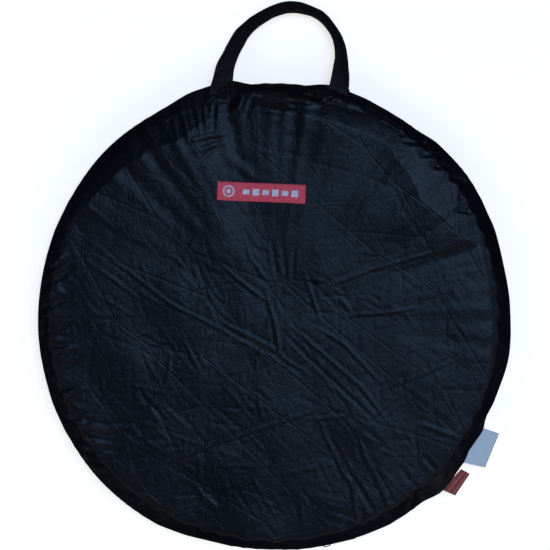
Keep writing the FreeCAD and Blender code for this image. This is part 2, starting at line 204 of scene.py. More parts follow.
def nylon_taffeta():
    """Coated nylon taffeta, calendered and much folded: near black, a low cool sheen, broad patches of painted sheen,
    crinkles and weave.

    Its threads are 0.2 mm apart and are drawn 0.7 mm apart, so that they show.
    """
    c = colours()
    material, tree, surface, place = shader("coated_nylon_taffeta", IOR=1.5,
                                            Specular_IOR_Level=0.16, Sheen_Weight=0.01,
                                            Sheen_Roughness=0.35, Sheen_Tint=(0.55, 0.72, 1.0, 1.0))
    # painted sheen: broad random patches, with a fine speckle, shift the colour to a lighter navy as sheen; the same
    # noise makes the roughness vary
    painted_sheen_mottle = node(tree, "TexNoise", {"Vector": place, "Scale": 9.0, "Detail": 4.0, "Roughness": 0.6})
    speckle = node(tree, "TexNoise", {"Vector": place, "Scale": 420.0, "Detail": 2.0})
    both = node(tree, "Math", {0: speckle, 1: 0.35, 2: painted_sheen_mottle}, operation="MULTIPLY_ADD")
    two_shades(tree, surface, both, 0.42, 0.86, c.nylon, c.nylon_painted_sheen)
    tree.links.new(node(tree, "MapRange", {"Value": painted_sheen_mottle, "From Min": 0.35, "From Max": 0.7,
                                           "To Min": 0.27, "To Max": 0.35}), surface.inputs["Roughness"])
    crinkle = node(tree, "TexNoise", {"Vector": place, "Scale": 160.0, "Detail": 5.0, "Roughness": 0.62})
    layers = [(crinkle, 0.7, 0.42)]
    # creases from folding: the straight edges of cells drawn out along a heading
    for turn, scale, stretch, width, depth in ((-0.70, 15.0, 3.4, 0.022, 0.24), (0.42, 20.0, 2.8, 0.03, 0.16),
                                               (-1.35, 30.0, 2.4, 0.035, 0.14), (0.0, 75.0, 1.0, 0.10, 0.11)):
        laid = node(tree, "Mapping", {"Vector": place, "Rotation": (0, 0, turn), "Scale": (stretch, 1.0, 1.0)},
                    vector_type="TEXTURE")
        cell = node(tree, "TexVoronoi", {"Vector": laid, "Scale": scale}, feature="DISTANCE_TO_EDGE")
        layers.append((node(tree, "MapRange", {"Value": cell, "From Max": width}), depth, 0.6))
    layers.append((threads_height(tree, place, 0.7, 0.7), 0.06, 0.35))
    relief(tree, surface, *layers)
    return material


def woven_tape(name, base, thread_mm=1.1, roughness=0.82):
    """Woven polyester: matt, with raised threads and a slight fluff."""
    material, tree, surface, place = shader(name, Roughness=roughness, Sheen_Weight=0.12, Sheen_Roughness=0.5)
    fluff = node(tree, "TexNoise", {"Vector": place, "Scale": 900.0, "Detail": 2.0})
    light = [min(1.0, v * 1.7 + 0.002) for v in tuple(base)[:3]] + [1.0]
    two_shades(tree, surface, fluff, 0.35, 0.7, base, light)
    relief(tree, surface, (threads_height(tree, place, thread_mm, thread_mm * 0.6), 0.12, 0.6))
    return material


def folded_strap():
    """The case's nylon folded four times into a strap: faint ribs run slantwise where it twists."""
    c = colours()
    material, tree, surface, place = shader("folded_nylon_strap", Roughness=0.5,
                                            Specular_IOR_Level=0.3, Sheen_Weight=0.02,
                                            Sheen_Roughness=0.35, Sheen_Tint=(0.6, 0.75, 1.0, 1.0))
    # painted sheen: the strap takes the cloth's lighter navy in random patches, standing in for its sheen
    painted_sheen_mottle = node(tree, "TexNoise", {"Vector": place, "Scale": 45.0, "Detail": 4.0})
    two_shades(tree, surface, painted_sheen_mottle, 0.4, 0.7, c.strap, c.nylon_painted_sheen)
    mapped = node(tree, "TexCoord", output="UV")
    slant = node(tree, "Mapping", {"Vector": mapped, "Rotation": (0, 0, 0.5)})
    ribs = node(tree, "TexWave", {"Vector": slant, "Scale": wave_scale(2.4), "Distortion": 1.5, "Detail": 1.0}, 1,
                bands_direction="Y")
    relief(tree, surface, (ribs, 0.3, 0.5), (threads_height(tree, mapped, 0.8, 0.8), 0.06, 0.4))
    return material


def nylon_coil():
    """Drawn nylon monofilament: smooth and slightly glossy."""
    material, tree, surface, place = shader("nylon_monofilament", Base_Color=tuple(colours().coil), IOR=1.53)
    cloudy = node(tree, "TexNoise", {"Vector": place, "Scale": 700.0, "Detail": 2.0})
    tree.links.new(node(tree, "MapRange", {"Value": cloudy, "From Min": 0.3, "From Max": 0.7,
                                           "To Min": 0.28, "To Max": 0.42}), surface.inputs["Roughness"])
    return material


def enamelled_zinc():
    """Die-cast zinc under black enamel, rubbed through to bare metal in small spots."""
    material, tree, surface, place = shader("enamelled_zinc", Coat_Weight=0.4)
    chips = node(tree, "TexNoise", {"Vector": place, "Scale": 850.0, "Detail": 4.0})
    bare = two_shades(tree, surface, chips, 0.66, 0.70, colours().enamel, linear("#8d8f93"))
    tree.links.new(bare, surface.inputs["Metallic"])
    tree.links.new(node(tree, "MapRange", {"Value": chips, "From Min": 0.3, "From Max": 0.7,
                                           "To Min": 0.22, "To Max": 0.42}), surface.inputs["Roughness"])
    return material


def tempered_steel():
    """Rolled spring strip: grey metal with faint blue temper colours and rolling streaks."""
    material, tree, surface, place = shader("tempered_steel", Metallic=1.0)
    temper = node(tree, "TexNoise", {"Vector": place, "Scale": 60.0, "Detail": 3.0})
    streaks = node(tree, "TexNoise", {"Vector": place, "Scale": 2200.0, "Detail": 2.0})
    two_shades(tree, surface, temper, 0.35, 0.7, colours().steel, linear("#7f8ca3"))
    tree.links.new(node(tree, "MapRange", {"Value": streaks, "From Min": 0.3, "From Max": 0.7,
                                           "To Min": 0.28, "To Max": 0.45}), surface.inputs["Roughness"])
    return material


def metallised_cloth():
    """Nylon with a vapour-deposited silver face: a broad gleam broken by crinkles and weave."""
    material, tree, surface, place = shader("metallised_nylon", Metallic=0.55)
    patches = node(tree, "TexNoise", {"Vector": place, "Scale": 22.0, "Detail": 4.0})
    two_shades(tree, surface, patches, 0.35, 0.7, colours().silver, linear("#b4b9c0"))
    tree.links.new(node(tree, "MapRange", {"Value": patches, "From Min": 0.3, "From Max": 0.7,
                                           "To Min": 0.34, "To Max": 0.46}), surface.inputs["Roughness"])
    crinkle = node(tree, "TexNoise", {"Vector": place, "Scale": 130.0, "Detail": 5.0, "Roughness": 0.6})
    facet = node(tree, "TexVoronoi", {"Vector": place, "Scale": 75.0}, feature="DISTANCE_TO_EDGE")
    edge = node(tree, "MapRange", {"Value": facet, "From Max": 0.1})
    relief(tree, surface, (crinkle, 1.2, 0.6), (edge, 0.2, 0.5), (threads_height(tree, place, 0.8, 0.8), 0.05, 0.4))
    return material


def plain_cloth(name, base, second, thread_mm, roughness, gloss=0.0):
    """Woven cloth of one colour with threads and a slight fluff; a satin weave has a little gloss."""
    material, tree, surface, place = shader(name, Roughness=roughness, Sheen_Weight=0.15, Sheen_Roughness=0.4,
                                            Coat_Weight=gloss, Coat_Roughness=0.35)
    fluff = node(tree, "TexNoise", {"Vector": place, "Scale": 260.0, "Detail": 4.0})
    two_shades(tree, surface, fluff, 0.35, 0.7, base, second)
    relief(tree, surface, (fluff, 0.3, 0.4), (threads_height(tree, place, thread_mm, thread_mm), 0.12, 0.5))
    return material


def barred_tag(name, base, ink, rows, share):
    """A woven tag with broken plain bars across it, in place of small type."""
    material, tree, surface, place = shader(name, Roughness=0.62, Sheen_Weight=0.2)
    mapped = node(tree, "TexCoord", output="UV")
    up = node(tree, "SeparateXYZ", {"Vector": mapped}, "Y")
    bars = node(tree, "Math", {0: up, 1: 0.5 / rows}, operation="PINGPONG")
    inked = node(tree, "Math", {0: bars, 1: 0.5 * share / rows}, operation="LESS_THAN")
    stretched = node(tree, "Mapping", {"Vector": mapped, "Scale": (9.0, 40.0, 1.0)})
    gaps = node(tree, "TexNoise", {"Vector": stretched, "Scale": 3.0, "Detail": 1.0})
    kept = node(tree, "MapRange", {"Value": gaps, "From Min": 0.47, "From Max": 0.5})
    drawn = node(tree, "Math", {0: inked, 1: kept}, operation="MULTIPLY")
    two_shades(tree, surface, drawn, 0.0, 1.0, base, ink)
    rows_of_thread = node(tree, "TexWave", {"Vector": mapped, "Scale": 12.0}, 1, bands_direction="X")
    relief(tree, surface, (rows_of_thread, 0.1, 0.5))
    return material


MAKERS = {
    "black_nylon": nylon_taffeta,
    "black_webbing": folded_strap,
    "binding_tape": lambda: woven_tape("grosgrain_binding", colours().tape, 1.0),
    "zip_tape": lambda: woven_tape("woven_zip_tape", colours().tape, 1.3),
    "thread": lambda: woven_tape("polyester_thread", linear("#1a1d22"), 0.5, 0.6),
    "zip_coil": nylon_coil,
    "zip_metal": enamelled_zinc,
    "steel": tempered_steel,
    "silver_cloth": metallised_cloth,
    "white_cloth": lambda: plain_cloth("white_taffeta", colours().white, linear("#dcdcd8"), 0.8, 0.8),
    "red_label": lambda: plain_cloth("satin_label", colours().label, linear("#da445a"), 0.6, 0.5, 0.04),
    "label_print": lambda: plain_cloth("label_weave", colours().label_print, linear("#cfcbdb"), 0.6, 0.6),
    "grey_tag": lambda: barred_tag("satin_tag", colours().grey_tag, linear("#d3e0ee"), 4, 0.3),
    "red_tag": lambda: barred_tag("woven_tag", colours().red_tag, linear("#b57068"), 5, 0.34),
}
MADE = {}


def material_for(key):
    """Each finish is made once, when a piece first asks for it."""
    if key not in MADE:
        MADE[key] = MAKERS[key]()
    return MADE[key]


# ------------------------------------------------------------------ meshes

def finished(name, bm, body, finish, replaces=(), smooth=True):
    """Makes a bmesh in millimetres into an object that rides on a body."""
    bmesh.ops.scale(bm, vec=(MM, MM, MM), verts=bm.verts)
    mesh = bpy.data.meshes.new(name)
    bm.to_mesh(mesh)
    bm.free()
    if smooth:
        mesh.shade_smooth()
    piece = bpy.data.objects.new(name, mesh)
    bpy.context.scene.collection.objects.link(piece)
    mesh.materials.append(material_for(finish))
    if body:
        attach(piece, body)
    if replaces:
        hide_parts(*replaces)
    return piece


def read_points(bm):
    return np.array([v.co for v in bm.verts], float).reshape(-1, 3)


def write_points(bm, points):
    for vertex, place in zip(bm.verts, points):
        vertex.co = place


def grid(across, along, uv=True):
    """A flat grid from 0 to 1 both ways, with its UV map."""
    bm = bmesh.new()
    if uv:
        bm.loops.layers.uv.new("surface")
    bmesh.ops.create_grid(bm, x_segments=across, y_segments=along, size=0.5, calc_uvs=uv)
    bmesh.ops.translate(bm, vec=(0.5, 0.5, 0.0), verts=bm.verts)
    return bm


def unit_disc(points):
    """Eases a square grid from 0 to 1 out to a disc of radius 1, and gives its radius and azimuth."""
    a, b = points[:, 0] * 2 - 1, points[:, 1] * 2 - 1
    x, y = a * np.sqrt(1 - b ** 2 / 2), b * np.sqrt(1 - a ** 2 / 2)
    return np.hypot(x, y), np.arctan2(y, x)


def spun(profile, start, sweep, steps):
    """Spins a line of (radius, height) points about the case's axis."""
    bm = bmesh.new()
    verts = [bm.verts.new((r, 0.0, z)) for r, z in profile]
    edges = [bm.edges.new(pair) for pair in zip(verts, verts[1:])]
    rotated(bm, start)
    bmesh.ops.spin(bm, geom=verts + edges, cent=(0, 0, 0), axis=(0, 0, 1), angle=math.radians(sweep),
                   steps=steps, use_merge=abs(sweep) >= 360, use_duplicate=False)
    bm.verts.index_update()
    return bm


def rotated(bm, degrees, axis="Z", verts=None, cent=(0, 0, 0)):
    """Turns the given vertices, or all of them, about an axis through a centre."""
    matrix = Matrix.Rotation(math.radians(degrees), 3, axis)
    bmesh.ops.rotate(bm, cent=cent, matrix=matrix, verts=verts or bm.verts)


def repeated_round(bm, sweep, count):
    """Copies the whole mesh round the case's axis, count times over a sweep in degrees."""
    bmesh.ops.spin(bm, geom=bm.verts[:] + bm.edges[:] + bm.faces[:], cent=(0, 0, 0), axis=(0, 0, 1),
                   angle=math.radians(sweep), steps=count, use_duplicate=True)


def polar(points):
    """Radius and azimuth of each point in plan."""
    return np.hypot(points[:, 0], points[:, 1]), np.arctan2(points[:, 1], points[:, 0])


def face_up(bm, up=True):
    """Gives an open sheet faces that all look up, or all down."""
    bmesh.ops.recalc_face_normals(bm, faces=bm.faces)
    if (sum(f.normal.z for f in bm.faces) > 0) != up:
        bmesh.ops.reverse_faces(bm, faces=bm.faces)


def smooth_line(points, count):
    """Points along a Catmull-Rom curve through a few points, evenly spread by station."""
    p = np.array(points, float)
    p = np.vstack([2 * p[0] - p[1], p, 2 * p[-1] - p[-2]])
    t = np.linspace(0, len(points) - 1, count)
    i = np.minimum(t.astype(int), len(points) - 2)
    u = (t - i)[:, None]
    a, b, c, d = p[i], p[i + 1], p[i + 2], p[i + 3]
    return 0.5 * (2 * b + (c - a) * u + (2 * a - 5 * b + 4 * c - d) * u ** 2
                  + (3 * b - a - 3 * c + d) * u ** 3)


def smoothstep(x, low, high):
    t = np.clip((x - low) / (high - low), 0, 1)
    return t * t * (3 - 2 * t)


def around(azimuth, stations):
    """A value that changes with azimuth, read from (degrees, value) stations and eased between them."""
    angles = np.array([a for a, _ in stations], float)
    values = np.array([v for _, v in stations], float)
    a = np.mod(np.degrees(azimuth) + 180, 360) - 180
    angles = np.concatenate([[angles[-1] - 360], angles, [angles[0] + 360]])
    values = np.concatenate([[values[-1]], values, [values[0]]])
    i = np.clip(np.searchsorted(angles, a) - 1, 0, len(angles) - 2)
    t = (a - angles[i]) / (angles[i + 1] - angles[i])
    t = t * t * (3 - 2 * t)
    return values[i] * (1 - t) + values[i + 1] * t


def waves(x, y, length, count, seed, heading=0.0, spread=180.0):
    """A smooth seeded wander: sine waves of about one length, each with a heading of its own."""
    rng = np.random.default_rng(seed)
    total = np.zeros_like(x)
    for _ in range(count):
        a = math.radians(heading + rng.uniform(-spread, spread))
        k = 2 * math.pi / (length * rng.uniform(0.7, 1.4))
        total += np.sin((x * math.cos(a) + y * math.sin(a)) * k + rng.uniform(0, 2 * math.pi))
    return total / math.sqrt(count)


def fold(x, y, path, height, width):
    """A crease along a line of points: a crest with a shallow trough each side, fading at both ends."""
    reach = 4 * width
    path = np.array(path, float)
    near = ((x > path[:, 0].min() - reach) & (x < path[:, 0].max() + reach)
            & (y > path[:, 1].min() - reach) & (y < path[:, 1].max() + reach))
    total = np.zeros_like(x)
    if not near.any():
        return total
    px, py = x[near], y[near]
    lengths = np.hypot(*(path[1:] - path[:-1]).T)
    whole, done = lengths.sum(), 0.0
    best, along = np.full_like(px, 1e9), np.zeros_like(px)
    for (ax, ay), (bx, by), length in zip(path, path[1:], lengths):
        dx, dy = bx - ax, by - ay
        t = np.clip(((px - ax) * dx + (py - ay) * dy) / length ** 2, 0, 1)
        d = np.hypot(px - ax - t * dx, py - ay - t * dy)
        closer = d < best
        best, along = np.where(closer, d, best), np.where(closer, (done + t * length) / whole, along)
        done += length
    crest = np.exp(-(best / width) ** 2) - 0.35 * np.exp(-((best - 1.9 * width) / width) ** 2)
    total[near] = height * crest * np.sin(math.pi * np.clip(along, 0.02, 0.98)) ** 0.6
    return total


# ------------------------------------------------------------------ the shape of the covers

# where the face starts to fall over the hoop, in mm from the axis, and how the rim wanders, by azimuth
SHOULDER_START = [(-170, 246), (-150, 246), (-120, 250), (-90, 253), (-60, 256), (-40, 260), (-22, 261),
                  (-12, 247), (8, 245), (18, 245), (25, 226), (38, 213), (48, 223), (57, 232), (75, 229),
                  (90, 232), (100, 238), (110, 232), (119, 226), (129, 234), (138, 240), (149, 246),
                  (160, 257), (170, 252)]
RIM_WANDER = [(-170, -0.4), (-150, 1.4), (-136, 2.6), (-122, 2.4), (-104, -3.2), (-90, -3.6), (-82, -2.0),
              (-74, -1.2), (-60, 1.8), (-52, 1.4), (-46, 7.0), (-38, 3.6), (-34, 0.4),
              (-29, 1.6), (-25, -1.6), (-21, -0.6), (-10, 2.2),
              (2, -0.2), (12, -1.4), (24, 0.6), (36, 2.4), (46, 1.2), (53, -2.6), (60, -2.6), (68, -1.0), (76, 1.0),
              (84, -5.6), (90, -6.4), (95, -4.6), (101, 3.0), (108, 2.0), (120, -2.4), (135, -1.0), (150, -2.2),
              (168, -2.0)]

# creases of the front face: points in plan, height, width
FRONT_CREASES = [
    ([(-182, -188), (-68, -145), (46, -107)], 0.9, 2.4),
    ([(14, -7), (54, -41), (99, -80), (132, -123)], 0.9, 2.3),
    ([(8, -15), (43, -51), (83, -88), (124, -128)], -0.8, 2.3),
    ([(46, -11), (79, -31), (124, -78)], 0.7, 2.3),
    ([(-58, -7), (-19, -27), (5, -41)], 0.9, 2.3),
    ([(-52, -17), (-3, -41), (34, -66)], -0.9, 2.6),
    ([(-232, 102), (-178, 61), (-117, 14), (-68, -11), (-27, -31)], 0.5, 2.2),
    ([(-217, 67), (-150, 18)], 0.45, 2.2),
    ([(-213, 128), (-178, 96)], 0.5, 2.2),
    ([(47, 29), (112, 53), (190, 75)], 0.55, 2.2),
    ([(79, 0), (130, 4), (177, 12)], 0.5, 2.2),
    ([(124, -82), (169, -66), (206, -49)], 0.7, 2.3),
    ([(-2, 83), (3, 47)], -0.8, 2.6),
    ([(10, 79), (14, 42)], -0.8, 2.4),
    ([(24, 79), (20, 38)], -0.6, 2.4),
    ([(-11, 34), (1, -7), (8, -47), (42, -68)], 0.8, 2.5),
    ([(34, 51), (46, 14), (54, -9)], 0.7, 2.4),
    ([(-68, 65), (-31, 34), (-3, 14)], 0.6, 2.3),
    ([(-35, 96), (-27, 67), (-3, 34)], 0.6, 2.3),
    ([(46, -109), (67, -150), (87, -190), (99, -244)], 1.0, 3.0),
    ([(54, -125), (79, -166), (91, -211)], -1.0, 3.0),
    ([(38, -117), (85, -113)], 0.8, 2.4),
    ([(95, -141), (116, -182), (136, -227)], 1.0, 3.0),
    ([(71, -158), (98, -196), (120, -235)], -0.9, 3.2),
    ([(169, -158), (193, -186)], -1.0, 3.0),
    ([(-101, -27), (-84, -64)], 0.6, 2.4),
    ([(-117, -47), (-121, -72)], 0.5, 2.4),
    ([(-52, 181), (-19, 153)], 0.8, 6.0),
    ([(63, 100), (95, 128)], 0.4, 2.2),
    ([(-84, -199), (-64, -219)], 0.9, 4.5),
    ([(163, -121), (218, -141)], 0.7, 3.0),
    # pleats gathered under the left end of the handle, and the crumple below them
    ([(-119, 240), (-109, 202)], 0.8, 3.2),
    ([(-107, 243), (-96, 198)], 0.9, 3.0),
    ([(-95, 245), (-85, 198)], -0.9, 2.8),
    ([(-80, 247), (-75, 206)], 0.9, 3.0),
    ([(-66, 247), (-69, 210)], -0.9, 3.0),
    ([(-97, 198), (-74, 204), (-50, 207)], 0.8, 3.4),
    ([(-93, 185), (-56, 198)], 0.8, 3.4),
    ([(-84, 175), (-68, 190)], -0.7, 3.2),
    # loose folds between the ends of the handle
    ([(-29, 262), (-44, 226)], 3.0, 6.5),
    ([(-15, 261), (14, 247), (48, 241)], 3.0, 5.5),
    ([(-22, 250), (8, 238)], -2.0, 5.0),
    ([(46, 261), (79, 244), (122, 235)], 2.4, 5.0),
    ([(26, 257), (56, 246)], -2.0, 4.5),
    ([(96, 250), (130, 226), (160, 206)], 1.6, 4.5),
    # short gathers along the rim
    ([(148, 198), (185, 194)], -1.6, 3.2),
    ([(169, 182), (195, 184)], -1.9, 3.4),
    ([(181, 170), (206, 169)], -1.9, 3.4),
    ([(197, 158), (222, 151)], -1.8, 3.4),
    ([(212, 136), (228, 143)], -1.4, 3.0),
    ([(205, 120), (236, 117)], -1.0, 3.0),
    ([(-252, -92), (-211, -80)], 1.1, 3.4),
    ([(-248, -113), (-191, -129), (-162, -125)], 1.2, 3.4),
    ([(-236, -137), (-178, -148)], 1.1, 3.4),
    ([(-266, 6), (-232, 22)], -1.3, 3.6),
    ([(-264, 34), (-225, 57)], -1.7, 4.2),
    ([(-260, -19), (-227, -9)], -1.3, 3.4),
    ([(-260, -41), (-223, -35)], 1.2, 3.4),
    ([(-256, -64), (-219, -51)], -1.2, 3.4),
    ([(-266, 51), (-236, 69)], 1.4, 3.8),
]

# zones where random gathers stand along the rim: from and to azimuth, number, longest, highest
RIM_GATHERS = [(150, 178, 9, 42, 0.8), (178, 222, 16, 40, 0.9), (-138, -100, 9, 30, 0.5), (-75, -48, 8, 45, 0.7),
               (-48, -5, 12, 22, 0.6), (22, 55, 12, 34, 0.9), (58, 82, 7, 20, 0.8), (104, 140, 8, 24, 0.5)]

LABEL_CENTRE = (-14.0, 140.0)
LABEL_TURN = math.radians(-2.9)


def label_axes(x, y):
    """Places along and up the label, from places in plan."""
    dx, dy = x - LABEL_CENTRE[0], y - LABEL_CENTRE[1]
    return (dx * math.cos(LABEL_TURN) + dy * math.sin(LABEL_TURN),
            -dx * math.sin(LABEL_TURN) + dy * math.cos(LABEL_TURN))


def random_gathers(x, y, zones, seed):
    """Short folds that run in from the rim, each with its own length, height and slant."""
    rng = np.random.default_rng(seed)
    total = np.zeros_like(x)
    for low, high, count, longest, highest in zones:
        for number in range(count):
            azimuth = math.radians(low + (high - low) * (number + rng.uniform(0.15, 0.85)) / count)
            length = longest * rng.uniform(0.35, 1.0)
            slant = rng.normal(0.0, 0.09)
            inner = RIM - length
            path = [(RIM * math.cos(azimuth), RIM * math.sin(azimuth)),
                    (inner * math.cos(azimuth + slant), inner * math.sin(azimuth + slant))]
            height = highest * rng.uniform(0.4, 1.0) * rng.choice([-1.0, 1.0])
            total += fold(x, y, path, height, rng.uniform(2.4, 4.2))
    return total


def random_creases(x, y, count, seed, heading, spread, highest=0.4):
    """Straight creases left by folding, scattered over the face."""
    rng = np.random.default_rng(seed)
    total = np.zeros_like(x)
    for _ in range(count):
        radius, azimuth = 225 * math.sqrt(rng.uniform()), rng.uniform(0, 2 * math.pi)
        cx, cy = radius * math.cos(azimuth), radius * math.sin(azimuth)
        cy = -cy if cy > 85 else cy                      # the cloth is smooth round the label
        a = math.radians(heading + rng.normal(0, spread))
        half = rng.uniform(8, 34)
        dx, dy = half * math.cos(a), half * math.sin(a)
        height = highest * rng.uniform(0.3, 1.0) * rng.choice([-1.0, 1.0])
        total += fold(x, y, [(cx - dx, cy - dy), (cx + dx, cy + dy)], height, rng.uniform(1.6, 2.3))
    return total


HOOP_EDGE = 254.8                # how far out, and how high above the middle, the top hoop holds the cloth up
HOOP_TOP = 21.4
SHOULDER_TILT = [(-170, 5), (-120, 5), (-60, 5), (-30, 6), (-14, 12), (16, 12), (26, 9.5), (44, 9.5), (54, 14),
                 (96, 14), (104, 9), (114, 13.5), (158, 13.5), (172, 7)]


def face_height(x, y, front=True):
    """Height of a cover above the case's middle, with the cloth lying as it does on the folded hoops."""
    radius, azimuth = np.hypot(x, y), np.arctan2(y, x)
    rim = RIM + around(azimuth, RIM_WANDER)
    knee = np.minimum(HOOP_EDGE + 1.2 * waves(azimuth * RIM, 0 * azimuth, 30, 6, 35, 0, 10), rim - 5.5)
    if front:
        start = np.minimum(around(azimuth, SHOULDER_START), knee - 5)
        edge = HOOP_TOP + (knee - start) * np.tan(np.radians(around(azimuth, SHOULDER_TILT)))
        middle = DEPTH - MIDDLE + 0.6
    else:
        start, edge, middle = knee - 9.0, DEPTH - MIDDLE, DEPTH - MIDDLE
    inside = middle + (edge - middle) * np.clip(radius / start, 0, 1) ** 2.6
    inside -= sizes().face_dip / MM * (1 - np.clip(radius / start, 0, 1) ** 2)
    fall = np.clip((radius - start) / (knee - start), 0, 1)
    over = np.clip((radius - knee) / (rim - knee), 0, 1)
    height = inside - (edge - HOOP_TOP) * fall ** 1.1 - (HOOP_TOP - SEAM + MIDDLE) * over
    strength = sizes().crease_strength
    if front:
        creases = sum(fold(x, y, path, h, max(1.7, 0.8 * w)) for path, h, w in FRONT_CREASES)
        creases = creases + random_creases(x, y, 190, 11, -48, 24, 0.30) + random_creases(x, y, 130, 12, 20, 60, 0.24)
        creases = creases + random_gathers(x, y, RIM_GATHERS, 13)
    else:
        creases = random_creases(x, y, 90, 21, 40, 50, 0.45)
        creases = creases + random_gathers(x, y, [(-180, 180, 70, 38, 0.9)], 22)
    wander = 0.45 * waves(x, y, 95, 7, 31 if front else 32) + 0.09 * waves(x, y, 34, 9, 33, -45, 70)
    fine = 0.05 * waves(x, y, 13, 12, 34)
    if front:
        along, up = label_axes(x, y)
        off_label = np.maximum(smoothstep(np.abs(along), 48, 62), smoothstep(np.abs(up), 9, 20))
        creases, fine = creases * off_label, fine * off_label
    at_rim = 1 - smoothstep(radius, rim - 7, rim)
    height = height + (strength * creases + wander) * (0.12 + 0.88 * at_rim) + fine * at_rim
    held_up = np.where(radius < knee, HOOP_TOP - 0.3, -MIDDLE)     # nothing sinks into the top hoop
    height = np.maximum(height, held_up)
    return height if front else np.minimum(height, DEPTH - MIDDLE - 0.1)


COVER_EDGE = 0.985              # share of the grid that reaches the rim; the rest is turned in at the seam
TURN_IN = 3.2                   # how far the cloth turns in


def cover(name, front, body, replaces):
    """One cover of the case: a round cut of nylon pulled over the hoops and turned in at the rim seam."""
    cells = sizes().cover_cells if front else int(sizes().cover_cells * 0.7)
    bm = grid(cells, cells, uv=False)
    share, azimuth = unit_disc(read_points(bm))
    rim = RIM + around(azimuth, RIM_WANDER)
    inside = np.minimum(share / COVER_EDGE, 1.0)
    turned = np.clip((share - COVER_EDGE) / (1 - COVER_EDGE), 0, 1)
    radius = rim * inside
    x, y = radius * np.cos(azimuth), radius * np.sin(azimuth)
    z = face_height(x, y, front) - 1.6 * turned
    pulled = 1 - TURN_IN * turned / RIM
    points = np.column_stack([x * pulled, y * pulled, MIDDLE + (z if front else -z)])
    write_points(bm, points)
    face_up(bm, front)
    piece = finished(name, bm, body, "black_nylon", replaces)
    return piece


def wall(name, front, body, replaces):
    """One half of the side wall, drawn in from the rim seam to the zip and folded under at its edge."""
    sign = 1 if front else -1
    heights = [(RIM - 0.4, SEAM - 0.1), (RIM - 1.4, SEAM - 1.2), (RIM - 3.0, SEAM - 2.1), (RIM - 4.4, SEAM - 3.1),
               (WALL + 0.2, SEAM - 4.2), (WALL - 0.1, WALL_EDGE + 0.6), (WALL - 0.4, WALL_EDGE + 0.1),
               (WALL - 0.8, WALL_EDGE + 0.4), (WALL - 0.9, WALL_EDGE + 2.6)]
    profile = [(r, MIDDLE + sign * (z - MIDDLE)) for r, z in heights]
    bm = spun(profile, FOOT_AZIMUTH + FOOT_HALF, 360 - 2 * FOOT_HALF, 560)
    points = read_points(bm)
    radius, azimuth = polar(points)
    out = smoothstep(radius, WALL + 0.5, RIM - 0.5)
    along = azimuth * RIM
    ripple = 0.35 * waves(along, points[:, 2] * 2, 17, 6, 41 if front else 42, 0, 25)
    middle = np.exp(-((radius - (WALL + 2.4)) / 1.8) ** 2)
    moved = radius + out * around(azimuth, RIM_WANDER) + ripple * middle
    points[:, :2] *= (moved / radius)[:, None]
    write_points(bm, points)
    face_outwards(bm)
    piece = finished(name, bm, body, "black_nylon", replaces)
    return piece


def face_outwards(bm):
    """Turns an open skin so that most of its faces point away from the case's axis."""
    bmesh.ops.recalc_face_normals(bm, faces=bm.faces)
    total = sum((f.normal.x * f.calc_center_median().x + f.normal.y * f.calc_center_median().y)
                * f.calc_area() for f in bm.faces)
    if total < 0:
        bmesh.ops.reverse_faces(bm, faces=bm.faces)


def foot_cloth():
    """The unzipped stretch of the side wall, one strip of cloth at the folding foot."""
    profile = [(RIM - 0.4, DEPTH - SEAM + 0.2), (RIM - 1.7, 17.5), (RIM - 2.8, 20.5), (RIM - 3.1, 23.5),
               (RIM - 3.1, 26.5), (RIM - 2.8, 29.5), (RIM - 1.7, 32.5), (RIM - 0.4, SEAM - 0.2)]
    bm = spun(profile, FOOT_AZIMUTH - FOOT_HALF - 0.4, 2 * FOOT_HALF + 0.8, 48)
    bmesh.ops.subdivide_edges(bm, edges=[e for e in bm.edges if abs(e.verts[0].co.z - e.verts[1].co.z) > 0.5],
                              cuts=3, use_grid_fill=True)
    points = read_points(bm)
    radius, azimuth = polar(points)
    wander = around(azimuth, RIM_WANDER) * np.abs(points[:, 2] - MIDDLE) / (SEAM - MIDDLE)
    moved = radius + wander + 0.18 * waves(azimuth * RIM, points[:, 2], 12, 5, 51, 0, 30)
    points[:, :2] *= (moved / radius)[:, None]
    write_points(bm, points)
    face_outwards(bm)
    piece = finished("foot_cloth", bm, None, "black_nylon", ("back_foot", "front_foot"))
    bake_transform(piece)
    return piece


# ------------------------------------------------------------------ seams, zip and stitches

def seam_binding(name, front, body, replaces):
    """The folded tape over the raw edges inside the rim seam."""
    sign = 1 if front else -1
    low, high = corners(replaces[0])
    middle = (low[2] + high[2]) / 2
    outer = high[0]
    shape = [(-3.0, -1.1), (-2.6, -1.4), (-0.3, -1.5), (0.0, -0.8), (0.0, 0.8), (-0.3, 1.5), (-2.6, 1.4), (-3.0, 1.1)]
    bm = spun([(outer + a, middle + sign * b) for a, b in shape + shape[:1]], 0, 360, 320)
    bmesh.ops.remove_doubles(bm, verts=bm.verts, dist=0.01)
    points = read_points(bm)
    scale = 1 + 0.0006 * waves(np.arctan2(points[:, 1], points[:, 0]) * RIM, points[:, 2], 9, 5, 61, 0, 20)
    points[:, :2] *= scale[:, None]
    write_points(bm, points)
    bmesh.ops.recalc_face_normals(bm, faces=bm.faces)
    return finished(name, bm, body, "binding_tape", replaces)


